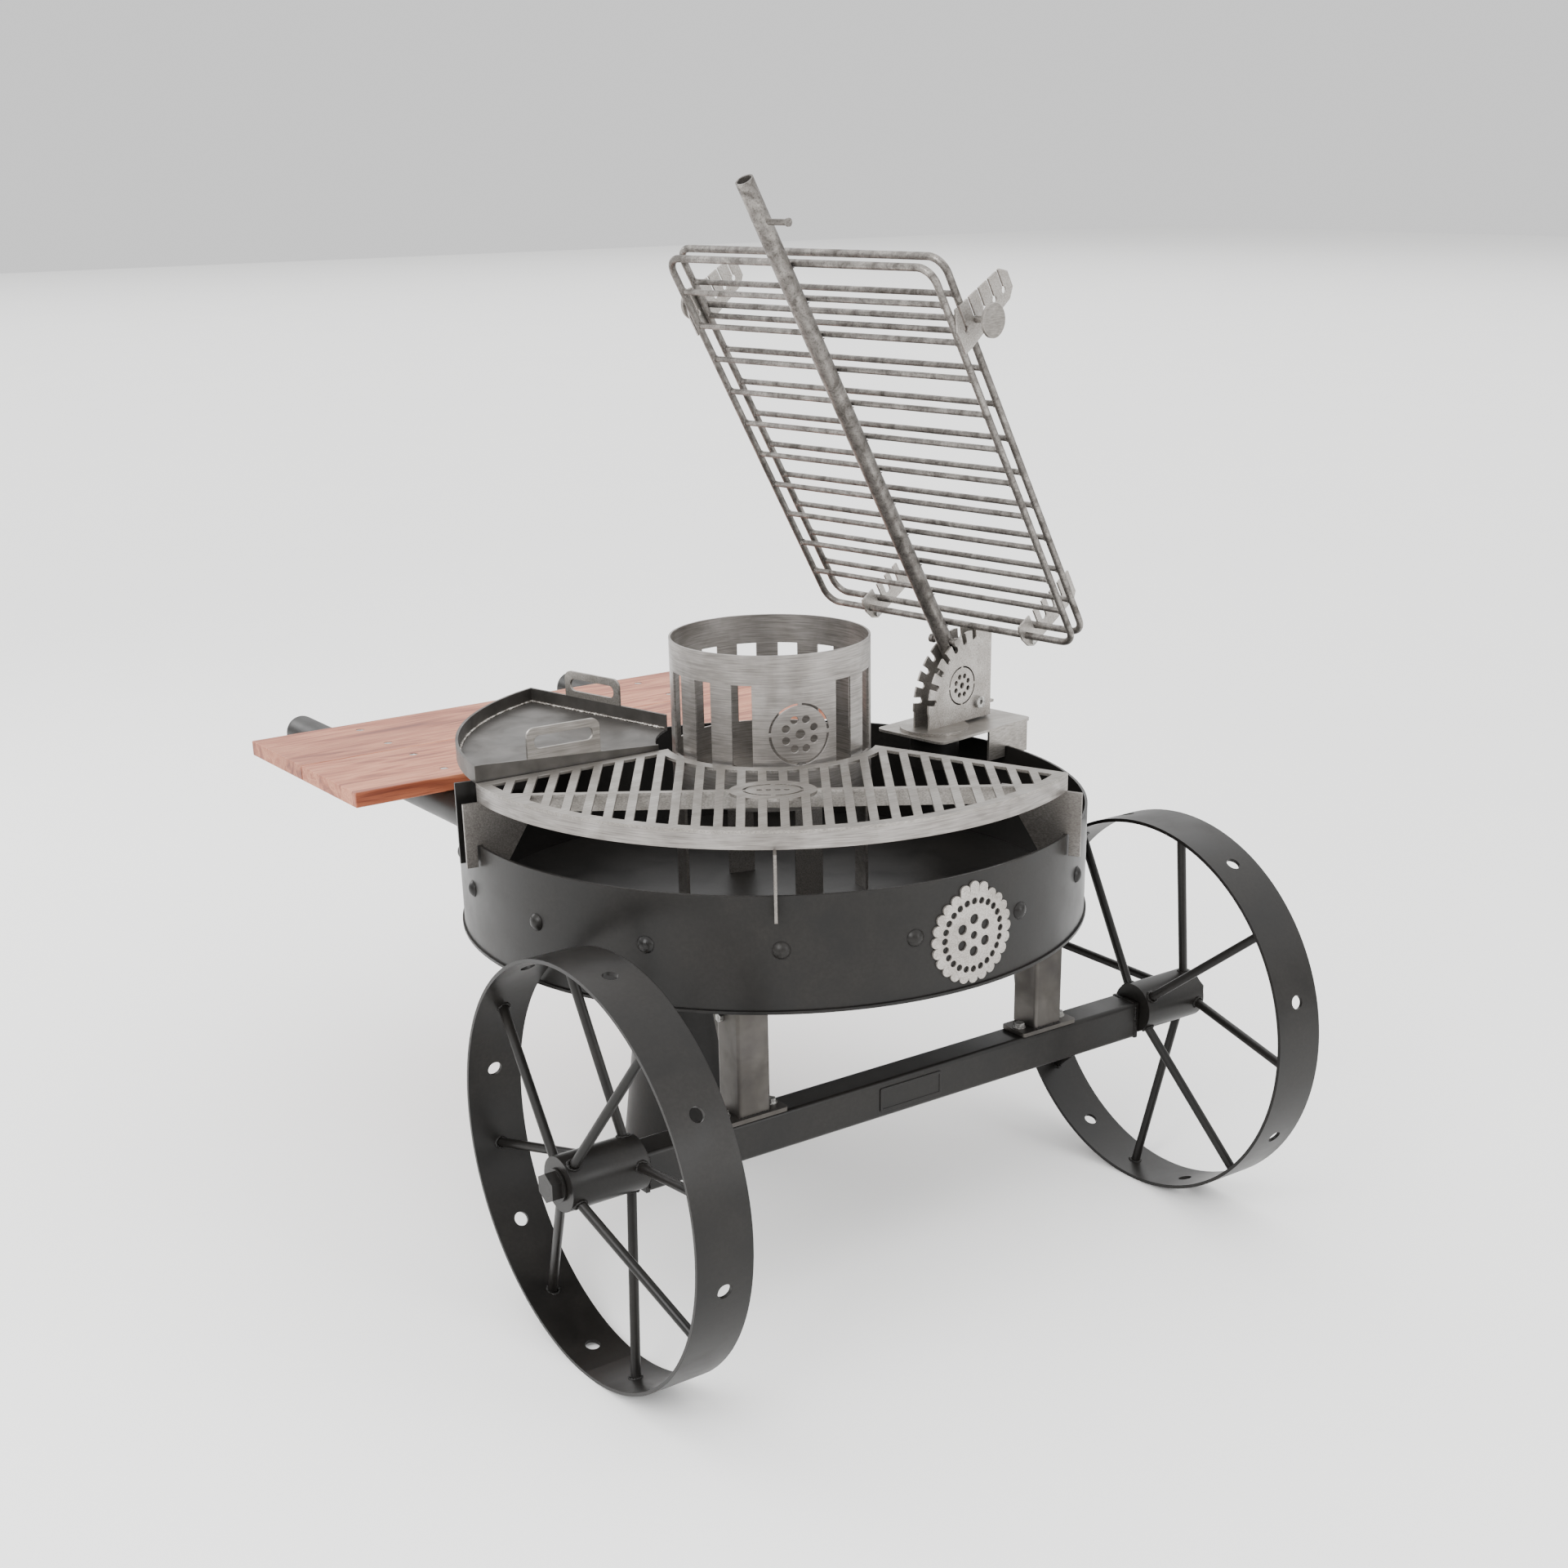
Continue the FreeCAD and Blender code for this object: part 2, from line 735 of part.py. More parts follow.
def oval(half_length, half_width, distance, z0, z1):
    """An oval prism, longer across the grate than along it."""
    curve = Part.Ellipse(V(0, 0, z0), half_length, half_width)
    face = Part.Face(Part.Wire(curve.toShape()))
    solid = face.extrude(V(0, 0, z1 - z0))
    return moved(solid, V(distance, 0, 0), V(0, 1, 0), V(-1, 0, 0))


def grate_plate():
    """The slotted plate, with a web across it and an oval plaque in the middle."""
    z1 = grate_top
    z0 = z1 - grate_thickness
    plate = sector(grate_inner_radius, grate_outer_radius, grate_half_angle, grate_apex, z0, z1)
    inset = grate_border / math.sin(math.radians(grate_half_angle))
    inner = grate_inner_radius + grate_border
    outer = grate_outer_radius - grate_border
    field = sector(inner, outer, grate_half_angle, grate_apex + inset, z0, z1)
    web0 = grate_web_distance - grate_web_width / 2
    web1 = grate_web_distance + grate_web_width / 2
    field = field.cut(block(web0, web1, -BIG, BIG, z0, z1))
    field = field.cut(oval(oval_half_length, oval_half_width, grate_web_distance, z0, z1))
    half = grate_slot_width / 2
    reach = int(grate_outer_radius / grate_slot_pitch)
    slots = [block(-BIG, BIG, k * grate_slot_pitch - half, k * grate_slot_pitch + half, z0, z1)
             for k in range(-reach, reach + 1)]
    openings = field.common(Part.makeCompound(slots))
    kept = [s for s in openings.Solids if s.Volume > 120 * grate_thickness]
    ring = oval(oval_half_length * 0.7, oval_half_width * 0.64, grate_web_distance, z0, z1)
    ring = ring.cut(oval(oval_half_length * 0.63, oval_half_width * 0.54, grate_web_distance, z0, z1))
    ring = ring.cut(block(grate_web_distance - 2, grate_web_distance + 2, -BIG, BIG, z0, z1))
    ring = ring.cut(block(-BIG, BIG, -3, 3, z0, z1))
    holes = [rod(4.0, V(grate_web_distance, y, z0), V(grate_web_distance, y, z1)) for y in (-18, -6, 6, 18)]
    plate = plate.cut(kept)
    plate = plate.cut(ring.Solids + holes)
    return radial(plate, grate_azimuth)


def grate_skirt():
    """The upright strip under the plate's outer arc."""
    z1 = grate_top - grate_thickness
    z0 = z1 - grate_skirt_height
    inner = grate_outer_radius - grate_skirt_thickness
    strip = sector(inner, grate_outer_radius, grate_half_angle, grate_apex, z0, z1)
    return radial(strip, grate_azimuth)


def grate_bar():
    """The flat bar on edge under the plate's web."""
    z1 = grate_top - grate_thickness
    outer = grate_outer_radius - grate_skirt_thickness
    field = sector(0, outer, grate_half_angle, grate_apex, z1 - grate_bar_height, z1)
    bar = block(grate_web_distance - 2, grate_web_distance + 2, -BIG, BIG, z1 - grate_bar_height, z1)
    return radial(field.common(bar), grate_azimuth)


def rim_hook(top):
    """An upright plate on its own radius with a notch that sits on the rim."""
    tip = bowl_radius + hook_reach
    low = bowl_rim - hook_drop
    notch0 = bowl_inner - hook_notch_gap
    notch1 = bowl_radius + hook_notch_gap
    outline = [(hook_inner_top, top), (hook_inner_bottom, low), (notch0, low), (notch0, bowl_rim)]
    outline += [(notch1, bowl_rim), (notch1, low), (tip, low), (tip, top)]
    plate = prism_xz(outline, -hook_thickness / 2, hook_thickness / 2)
    return plate


def grate_hooks():
    """A hook under each end of the grate and one at its front middle."""
    hooks = []
    for turn in (-hook_tip_angle, 0, hook_tip_angle):
        hooks.append(radial(rim_hook(hook_top), grate_azimuth + turn))
    return hooks


def griddle_floor():
    """The flat cooking plate."""
    inner = griddle_inner_radius
    outer = griddle_outer_radius
    plate = sector(inner, outer, griddle_half_angle, griddle_apex, griddle_bottom, griddle_floor_top)
    return radial(plate, griddle_azimuth)


def griddle_side_frame(side):
    """Origin and directions of a straight side: out along it, and across towards the middle."""
    angle = math.radians(side * griddle_half_angle)
    along = V(math.cos(angle), math.sin(angle), 0)
    return V(griddle_apex, 0, 0), along


def near_wall_top(distance):
    """Height of the sloping wall's top at a distance out along it."""
    inner = griddle_inner_radius - griddle_apex
    outer = griddle_outer_radius - griddle_apex
    share = (distance - inner) / (outer - inner)
    return griddle_wall_low + share * (griddle_wall_top - griddle_wall_low)


def griddle_walls():
    """Walls on the outer arc and both sides; the side next to the grate slopes down inwards."""
    z0 = griddle_floor_top
    z1 = griddle_wall_top
    wall = griddle_thickness
    inner = griddle_inner_radius
    outer = griddle_outer_radius
    solid = sector(inner, outer, griddle_half_angle, griddle_apex, z0, z1)
    inset = wall / math.sin(math.radians(griddle_half_angle))
    room = sector(0, outer - wall, griddle_half_angle, griddle_apex + inset, z0, z1)
    walls = solid.cut(room)
    origin, along = griddle_side_frame(1)
    far = outer - griddle_apex
    slope = [(0, near_wall_top(0)), (far, near_wall_top(far)), (far, z1 + 9), (0, z1 + 9)]
    cutter = prism_xz(slope, -2 * wall, 2 * wall)
    walls = walls.cut(moved(cutter, origin, along, UP.cross(along)))
    return radial(walls, griddle_azimuth)


def griddle_grip(low0, low1, top):
    """A flat grip with a long rounded slot; its foot follows the wall's top."""
    half = griddle_handle_length / 2
    band = griddle_handle_band
    d = griddle_handle_distance
    outline = [(d - half, low0), (d + half, low1), (d + half, top), (d - half, top)]
    plate = prism_xz(outline, 0, griddle_thickness)
    corners = [e for e in plate.Edges if abs(e.CenterOfMass.z - top) < 0.1]
    corners = [e for e in corners if abs(e.CenterOfMass.y - griddle_thickness / 2) < 0.1]
    plate = plate.makeFillet(12.0, corners)
    slot = block(d - half + band, d + half - band, -1, griddle_thickness + 1, top - band - 18, top - band)
    slot = rounded(slot, 8.5, V(0, 1, 0))
    return plate.cut(slot)


def griddle_handles():
    """A flat grip on each straight wall."""
    half = griddle_handle_length / 2
    grips = []
    for side in (1, -1):
        origin, along = griddle_side_frame(side)
        d0 = griddle_handle_distance - griddle_apex - half
        d1 = d0 + griddle_handle_length
        low0 = near_wall_top(d0) if side > 0 else griddle_wall_top
        low1 = near_wall_top(d1) if side > 0 else griddle_wall_top
        top = griddle_wall_top + griddle_handle_height
        grip = griddle_grip(low0, low1, top)
        grip = moved(grip, V(-griddle_apex, 0, 0), V(1, 0, 0), V(0, 1, 0))
        if side > 0:
            grip = moved(grip, V(0, -griddle_thickness, 0), V(1, 0, 0), V(0, 1, 0))
        grip = moved(grip, origin, along, UP.cross(along))
        grips.append(radial(grip, griddle_azimuth))
    return grips


def griddle_hooks():
    """Two hooks under the griddle's outer edge."""
    hooks = []
    for turn in (-griddle_hook_angle, griddle_hook_angle):
        hooks.append(radial(rim_hook(griddle_bottom), griddle_azimuth + turn))
    return hooks


# ---- turret ----------------------------------------------------------------------------
def arm_bracket():
    """The saddle on the rim: a top plate with two notched flanges."""
    half = bracket_half_width
    z0 = bracket_top - bracket_plate
    top = block(bracket_inner, bracket_outer, -half, half, z0, bracket_top)
    top = rounded(top, bracket_corner, UP)
    pieces = [top]
    for side in (-1, 1):
        y0 = side * half
        y1 = side * (half - bracket_plate)
        low_y = min(y0, y1)
        high_y = max(y0, y1)
        flange = block(bracket_flange_inner, bracket_outer - bracket_corner, low_y, high_y,
                       bracket_flange_bottom, z0)
        middle = math.sqrt((bowl_radius - bowl_wall / 2) ** 2 - half ** 2)
        width = bowl_wall / 2 + hook_notch_gap + 1
        notch = block(middle - width, middle + width, low_y, high_y, bracket_flange_bottom, bowl_rim)
        pieces.append(flange.cut(notch))
    saddle = fuse(pieces)
    saddle = saddle.cut(rod(spigot_radius + running_fit, V(turret_radius, 0, z0), V(turret_radius, 0, bracket_top)))
    hole = index_pin_radius + index_hole_gap
    saddle = saddle.cut(rod(hole, V(index_distance, 0, z0), V(index_distance, 0, bracket_top)))
    return turret_place(saddle)


def turret_sleeve():
    """The black bearing tube under the saddle."""
    start = V(turret_radius, 0, sleeve_bottom)
    end = V(turret_radius, 0, bracket_top - bracket_plate)
    return turret_place(pipe(sleeve_radius, spigot_radius + running_fit, start, end))


def turret_base():
    """The turntable disc and its spigot."""
    axis = V(turret_radius, 0, 0)
    disc = rod(disc_radius, axis + UP * bracket_top, axis + UP * disc_top)
    spigot = rod(spigot_radius, axis + UP * (sleeve_bottom + 2), axis + UP * bracket_top)
    return turret_place(fuse([disc, spigot]))


def quadrant(side):
    """A toothed side plate; its notches take the lock pin."""
    y0 = side * quadrant_gap / 2
    y1 = side * quadrant_outer
    low_y = min(y0, y1)
    high_y = max(y0, y1)
    left = pivot_radius - quadrant_radius
    round_part = rod(quadrant_radius, V(pivot_radius, low_y, pivot_height), V(pivot_radius, high_y, pivot_height))
    crown = block(left, quadrant_back, low_y, high_y, pivot_height, pivot_height + quadrant_radius - 3)
    foot = block(left + 2, quadrant_back, low_y, high_y, disc_top, pivot_height)
    plate = round_part.common(crown).fuse(foot).removeSplitter()
    cutters = []
    for k in range(notch_count):
        angle = arm_tilt + (k - 4) * notch_pitch
        slot = block(pin_seat, BIG, low_y, high_y, -notch_width / 2, notch_width / 2)
        seat = rod(notch_width / 2, V(pin_seat, low_y, 0), V(pin_seat, high_y, 0))
        turn = FreeCAD.Placement(V(pivot_radius, 0, pivot_height), FreeCAD.Rotation(V(0, 1, 0), angle - 180))
        notch = slot.fuse(seat)
        notch.Placement = turn
        cutters.append(notch)
    start = V(pivot_radius, low_y, pivot_height)
    cutters.append(rod(pivot_bolt_radius, start, V(pivot_radius, high_y, pivot_height)))
    mark = mark_cutter(30.0, low_y, high_y, 0, 0)
    mark = moved(mark, V(394, 0, 717), V(0, 1, 0), V(-1, 0, 0))
    cutters.append(mark)
    return turret_place(plate.cut(cutters))


def turret_web():
    """The back plate between the two toothed plates, with the index pin's lug."""
    half = quadrant_gap / 2
    top = pivot_height + quadrant_radius - 6
    web = block(quadrant_back - 4, quadrant_back, -half, half, disc_top, top)
    lug = block(quadrant_back, index_distance + 9, -9, 9, 676, 680)
    lug = lug.cut(rod(index_pin_radius + running_fit, V(index_distance, 0, 676), V(index_distance, 0, 680)))
    return turret_place(fuse([web, lug]))


def pivot_bolt():
    """The bolt that the arm turns on, with its head and nut."""
    half = quadrant_outer
    start = V(pivot_radius, -half, pivot_height)
    end = V(pivot_radius, half, pivot_height)
    shank = rod(pivot_bolt_radius, start, end)
    head = rod(9.5, start - V(0, 6, 0), start)
    socket = hexagon(8.0, 3.5, start - V(0, 6, 0), V(0, 1, 0))
    nut = hexagon(21.0, 9.0, end, V(0, 1, 0))
    return turret_place(fuse([shank, head, nut]).cut(socket))


def index_pin():
    """The pull pin that locks the turntable, drawn lifted."""
    axis = V(index_distance, 0, 0)
    stem = rod(index_pin_radius, axis + UP * (bracket_top + 1), axis + UP * 704)
    collar = rod(5.0, axis + UP * 690, axis + UP * 693)
    ring = Part.makeTorus(6.5, 1.2, axis + UP * 710, V(0, 1, 0))
    return turret_place(fuse([stem, collar, ring]))


# ---- arm -------------------------------------------------------------------------------
def arm_tube():
    """The long tube, with a cross hole for its pivot and a slot for the lock pin."""
    start = V(arm_tube_start, 0, 0)
    end = V(arm_tube_start + arm_tube_length, 0, 0)
    tube = pipe(arm_tube_radius, arm_tube_radius - arm_tube_wall, start, end)
    width = arm_tube_radius + 5
    tube = tube.cut(rod(pivot_bolt_radius + running_fit, V(0, 0, -width), V(0, 0, width)))
    gap = lock_pin_radius + 0.2
    slot = block(pin_seat, lock_pin_rest, -gap, gap, -width, width)
    ends = [rod(gap, V(s, 0, -width), V(s, 0, width)) for s in (pin_seat, lock_pin_rest)]
    return arm_place(tube.cut([slot] + ends))


def arm_peg():
    """The short hand peg near the top of the tube."""
    tip = -(arm_tube_radius + peg_reach)
    peg = rod(peg_radius, V(peg_distance, 0, 0), V(peg_distance, 0, tip))
    head = rod(peg_radius + 1.5, V(peg_distance, 0, tip), V(peg_distance, 0, tip - 3))
    core = rod(arm_tube_radius, V(0, 0, 0), V(arm_tube_length, 0, 0))
    return arm_place(fuse([peg, head]).cut(core))


def lock_pin():
    """The cross pin with a button at each end, drawn clear of the teeth."""
    reach = lock_pin_reach
    pin = rod(lock_pin_radius, V(lock_pin_rest, 0, -reach), V(lock_pin_rest, 0, reach))
    heads = []
    for side in (-1, 1):
        z = side * (quadrant_outer + 4)
        heads.append(rod(6.5, V(lock_pin_rest, 0, z), V(lock_pin_rest, 0, side * reach)))
    return arm_place(fuse([pin] + heads))


def loop_path(height):
    """The centre line of a grill frame: a rectangle with rounded corners."""
    r = grill_corner
    s0 = grill_start
    s1 = grill_end
    w = grill_half_width
    c = r * (1 - math.cos(math.radians(45)))
    line = Part.LineSegment
    edges = [line(V(s0 + r, height, -w), V(s1 - r, height, -w)).toShape()]
    edges.append(Part.Arc(V(s1 - r, height, -w), V(s1 - c, height, -w + c), V(s1, height, -w + r)).toShape())
    edges.append(line(V(s1, height, -w + r), V(s1, height, w - r)).toShape())
    edges.append(Part.Arc(V(s1, height, w - r), V(s1 - c, height, w - c), V(s1 - r, height, w)).toShape())
    edges.append(line(V(s1 - r, height, w), V(s0 + r, height, w)).toShape())
    edges.append(Part.Arc(V(s0 + r, height, w), V(s0 + c, height, w - c), V(s0, height, w - r)).toShape())
    edges.append(line(V(s0, height, w - r), V(s0, height, -w + r)).toShape())
    edges.append(Part.Arc(V(s0, height, -w + r), V(s0 + c, height, -w + c), V(s0 + r, height, -w)).toShape())
    return Part.Wire(edges)


def grill_loop(height):
    """A bent round rod that runs all round one grill."""
    path = loop_path(height)
    middle = V((grill_start + grill_end) / 2, height, -grill_half_width)
    circle = Part.Circle(middle, V(1, 0, 0), frame_rod_radius).toShape()
    start = Part.Wire(circle)
    half_a = Part.Wire(path.Edges)
    return half_a.makePipeShell([start], True, False, 2)


def grill_rods(height, loop):
    """The straight cross rods, fitted between the frame's sides."""
    rods = []
    w = grill_half_width
    sides = [rod(frame_rod_radius, V(0, height, z), V(BIG, height, z)) for z in (-w, w)]
    for k in range(cross_rod_count):
        s = grill_start + cross_rod_first + k * cross_rod_pitch
        bar = rod(cross_rod_radius, V(s, height, -w), V(s, height, w)).cut(sides)
        middle = [piece for piece in bar.Solids if piece.Volume > 1000]
        rods.append(arm_place(middle[0]))
    return rods


def notch_brackets():
    """Two comb plates on the lower rod; the loose grill drops into a gap of each."""
    plates = []
    base0 = grill_start - 24
    base1 = grill_start - frame_rod_radius - 3
    tip = grill_start + 22
    first = near_plane - 11
    slot_half = frame_rod_radius + 0.5
    slots = [far_plane + k * latch_pitch for k in range(5)]
    end = slots[-1] + slot_half + 7
    for side in (-1, 1):
        z0 = side * notch_bracket_side - side_plate_thickness / 2
        z1 = z0 + side_plate_thickness
        outline = [(base0 + 8, first + 6), (base0, first + 16), (base0, end - 8), (base0 + 8, end)]
        outline += [(tip, end), (tip, first + 3), (tip - 6, first), (grill_start, first)]
        plate = prism_xy(outline, z0, z1)
        cutters = []
        for y in slots:
            cutters.append(block(grill_start, BIG, y - slot_half, y + slot_half, z0, z1))
            cutters.append(rod(slot_half, V(grill_start, y, z0), V(grill_start, y, z1)))
        cutters.append(rod(frame_rod_radius, V(grill_start, near_plane, z0), V(grill_start, near_plane, z1)))
        plate = plate.cut(cutters)
        plates.append(arm_place(plate))
    return plates


def bracket_bolts():
    """A small round-headed bolt on each comb plate."""
    heads = []
    for side in (-1, 1):
        z = side * notch_bracket_side
        reach = side_plate_thickness / 2
        start = V(grill_start - 16, near_plane + 6, z)
        heads.append(arm_place(rod(4.5, start + V(0, 0, -reach - 4), start + V(0, 0, -reach))))
        heads.append(arm_place(rod(4.5, start + V(0, 0, reach), start + V(0, 0, reach + 4))))
    return heads


def latch_plates():
    """Two side plates with narrow slots that end in round seats for the latch rod."""
    plates = []
    seat = latch_distance
    low = seat - 22
    top = seat + 27
    slots = [latch_rod_plane + (k - 1) * latch_pitch for k in range(5)]
    end = slots[-1] + 17
    inner = near_plane - 4
    for side in (-1, 1):
        face = side * (grill_half_width + frame_rod_radius + slide_gap)
        other = face + side * side_plate_thickness
        z0 = min(face, other)
        z1 = max(face, other)
        outline = [(low - 4, inner), (low - 4, near_plane + 12), (low + 6, end - 12), (low + 16, end)]
        outline += [(top - 10, end), (top + 1, end - 12), (top + 6, near_plane + 6), (seat + 6, inner)]
        plate = prism_xy(outline, z0, z1)
        cutters = []
        for y in slots:
            half = latch_slot_width / 2
            cutters.append(block(seat, BIG, y - half, y + half, z0, z1))
            cutters.append(rod(latch_seat_radius, V(seat, y, z0), V(seat, y, z1)))
        plate = plate.cut(cutters)
        weld = rod(frame_rod_radius, V(0, near_plane, side * grill_half_width), V(BIG, near_plane, side * grill_half_width))
        tab0 = min(face, face - side * (slide_gap + 2))
        tab1 = max(face, face - side * (slide_gap + 2))
        tab = block(low, seat, near_plane - 2, near_plane + 2, tab0, tab1).cut(weld)
        plates.append(arm_place(fuse([plate, tab])))
    return plates


def latch_rod():
    """The locking rod, flattened where it passes the side plates."""
    reach = disc_grip_side
    s = latch_distance
    y = latch_rod_plane
    bar = rod(latch_rod_radius, V(s, y, -reach), V(s, y, reach))
    inner = grill_half_width + frame_rod_radius
    outer = inner + slide_gap + side_plate_thickness
    margin = slide_gap
    half = latch_flat / 2
    for side in (-1, 1):
        z0 = min(side * (inner - margin), side * (outer + margin))
        z1 = max(side * (inner - margin), side * (outer + margin))
        for y0, y1 in ((y - 10, y - half), (y + half, y + 10)):
            bar = bar.cut(block(s - 10, s + 10, y0, y1, z0, z1))
    return arm_place(bar)


def latch_discs():
    """The round thumb discs on the rod's ends."""
    discs = []
    s = latch_distance
    y = latch_rod_plane
    for side in (-1, 1):
        p0 = V(s, y, side * disc_grip_side)
        p1 = V(s, y, side * (disc_grip_side + disc_grip_thickness))
        disc = rod(disc_grip_radius, p0, p1)
        disc = disc.makeChamfer(0.8, [e for e in disc.Edges if e.Closed])
        discs.append(arm_place(disc))
    return discs


# ---- build -----------------------------------------------------------------------------
def build():
    """Write every node."""
    os.makedirs("parts", exist_ok=True)
    for name, side, phase in (("left", -1, left_spoke_phase), ("right", 1, right_spoke_phase)):
        write("wheel_rim_" + name, wheel_rim(side, phase))
        write("wheel_spokes_" + name, wheel_spokes(side, phase))
        write("wheel_hub_" + name, wheel_hub(side))
        write("axle_" + name, axle(side))
        write("leg_" + name, leg(side))
        write("handle_" + name, handle(side))
    write("axle_nuts", axle_nuts())
    write("beam", beam())
    write("beam_plaque", beam_plaque())
    write("leg_bolts", leg_bolts())
    write("rear_leg", rear_leg())
    write("bowl_ring", bowl_ring())
    write("bowl_floor", bowl_floor())
    write("bowl_rivets", bowl_rivets())
    write("bowl_badge", bowl_badge())
    write("handle_caps", handle_caps())
    write("shelf_plank_front", plank(0))
    write("shelf_plank_rear", plank(1))
    write("shelf_screws", shelf_screws())
    sleeve = basket_shell()
    lower_band, upper_band = basket_bands(sleeve)
    panel, bars = basket_walls(sleeve)
    write("basket_band_lower", lower_band)
    write("basket_band_upper", upper_band)
    write("basket_panel", panel)
    write("basket_bars", bars)
    write("basket_legs", basket_legs())
    write("basket_floor", basket_floor())
    write("grate_plate", grate_plate())
    write("grate_skirt", grate_skirt())
    write("grate_bar", grate_bar())
    write("grate_hooks", grate_hooks())
    write("griddle_floor", griddle_floor())
    write("griddle_walls", griddle_walls())
    write("griddle_handles", griddle_handles())
    write("griddle_hooks", griddle_hooks())
    write("arm_bracket", arm_bracket())
    write("turret_sleeve", turret_sleeve())
    write("turret_base", turret_base())
    write("quadrant_front", quadrant(-1))
    write("quadrant_back", quadrant(1))
    write("turret_web", turret_web())
    write("pivot_bolt", pivot_bolt())
    write("index_pin", index_pin())
    write("arm_tube", arm_tube())
    write("arm_peg", arm_peg())
    write("lock_pin", lock_pin())
    near = grill_loop(near_plane)
    far = grill_loop(far_plane)
    write("grill_frame", arm_place(near))
    write("grill_rods", grill_rods(near_plane, near))
    write("clamp_frame", arm_place(far))
    write("clamp_rods", grill_rods(far_plane, far))
    write("notch_brackets", notch_brackets())
    write("bracket_bolts", bracket_bolts())
    write("latch_plates", latch_plates())
    write("latch_rod", latch_rod())
    write("latch_discs", latch_discs())


build()
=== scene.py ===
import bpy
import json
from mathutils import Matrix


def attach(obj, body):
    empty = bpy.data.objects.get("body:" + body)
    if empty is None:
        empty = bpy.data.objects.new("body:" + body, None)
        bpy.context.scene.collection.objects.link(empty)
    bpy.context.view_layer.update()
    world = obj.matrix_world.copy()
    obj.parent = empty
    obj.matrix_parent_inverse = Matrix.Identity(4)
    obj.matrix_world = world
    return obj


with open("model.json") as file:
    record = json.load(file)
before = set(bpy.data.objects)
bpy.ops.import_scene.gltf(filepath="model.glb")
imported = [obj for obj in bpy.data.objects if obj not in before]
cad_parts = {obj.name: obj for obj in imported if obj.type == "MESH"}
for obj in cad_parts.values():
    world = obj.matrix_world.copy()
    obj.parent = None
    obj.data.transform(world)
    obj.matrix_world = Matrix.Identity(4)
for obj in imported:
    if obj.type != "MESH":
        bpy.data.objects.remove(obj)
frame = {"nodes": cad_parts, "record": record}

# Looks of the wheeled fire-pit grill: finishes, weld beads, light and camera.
"""Looks of the wheeled fire-pit grill: finishes, weld beads, trim, light and camera."""

import json
import logging
import math
from dataclasses import dataclass, field
from enum import Enum

import bpy
from mathutils import Matrix, Vector

LOG = logging.getLogger("fire_pit_grill")
MM = 0.001
NODES: dict[str, bpy.types.Object] = frame["nodes"]


# ---- units and colours -----------------------------------------------------------------
def srgb(code: str) -> tuple[float, float, float, float]:
    """Turn an sRGB hex colour into linear RGBA.

    Args:
        code: Six hex digits, with or without a leading hash.

    Returns:
        Linear red, green, blue and an alpha of 1.
    """
    digits = code.lstrip("#")
    linear = []
    for start in (0, 2, 4):
        value = int(digits[start:start + 2], 16) / 255
        linear.append(value / 12.92 if value <= 0.04045 else ((value + 0.055) / 1.055) ** 2.4)
    return (linear[0], linear[1], linear[2], 1.0)


def per_mm(size_mm: float) -> float:
    """Scale of a noise texture whose features are about this size.

    Args:
        size_mm: Feature size in millimetres.

    Returns:
        The value for a texture node's Scale socket, with coordinates in metres.
    """
    return 1.0 / (size_mm * MM)


class Grain(Enum):
    """Which way the brushing runs. The value stretches the pattern along it."""

    ALONG_X = (0.02, 1.0, 1.0)
    ALONG_Y = (1.0, 0.02, 1.0)
    AROUND = (0.04, 0.04, 1.0)
    EVEN = (1.0, 1.0, 1.0)


# ---- node trees ------------------------------------------------------------------------
Socket = bpy.types.NodeSocket
Colour = tuple[float, float, float, float]
Key = int | str
MIX_FACTOR, MIX_FIRST, MIX_SECOND, MIX_RESULT = 0, 6, 7, 2
NOISE_LOW, NOISE_HIGH = 0.3, 0.7


def add_node(tree: bpy.types.NodeTree, kind: str, values: dict[Key, object] | None = None,
             links: dict[Key, Socket] | None = None, stops: list[tuple[float, Colour]] | None = None,
             **settings: object) -> bpy.types.Node:
    """Add a node with its settings, its inputs and its links.

    Args:
        tree: The tree that it goes in.
        kind: The node's type.
        values: Values of its inputs, by name or number.
        links: Outputs that feed its inputs, by name or number.
        stops: Position and colour of each stop, in order, where it is a colour ramp.
        **settings: Its other properties.

    Returns:
        The node.
    """
    node = tree.nodes.new(kind)
    for name, setting in settings.items():
        setattr(node, name, setting)
    for key, value in (values or {}).items():
        node.inputs[key].default_value = value
    for key, source in (links or {}).items():
        tree.links.new(source, node.inputs[key])
    if stops:
        elements = node.color_ramp.elements
        while len(elements) < len(stops):
            elements.new(0.5)
        for element, (position, colour) in zip(elements, stops):
            element.position = position
            element.color = colour
    return node


def noise_values(size_mm: float, detail: float = 4.0, roughness: float = 0.55,
                 distortion: float = 0.0) -> dict[Key, object]:
    """Inputs that give fractal noise a real size.

    Args:
        size_mm: Feature size in millimetres.
        detail: Number of octaves.
        roughness: How strongly the fine octaves show.
        distortion: How far the pattern is swirled.

    Returns:
        The values by input name.
    """
    return {"Scale": per_mm(size_mm), "Detail": detail, "Roughness": roughness, "Distortion": distortion}


def span_values(low: float, high: float) -> dict[Key, object]:
    """Inputs that map noise from its usual spread onto a range.

    Args:
        low: Result at the low end of the noise.
        high: Result at its high end.

    Returns:
        The values by input name.
    """
    return {"From Min": NOISE_LOW, "From Max": NOISE_HIGH, "To Min": low, "To Max": high}


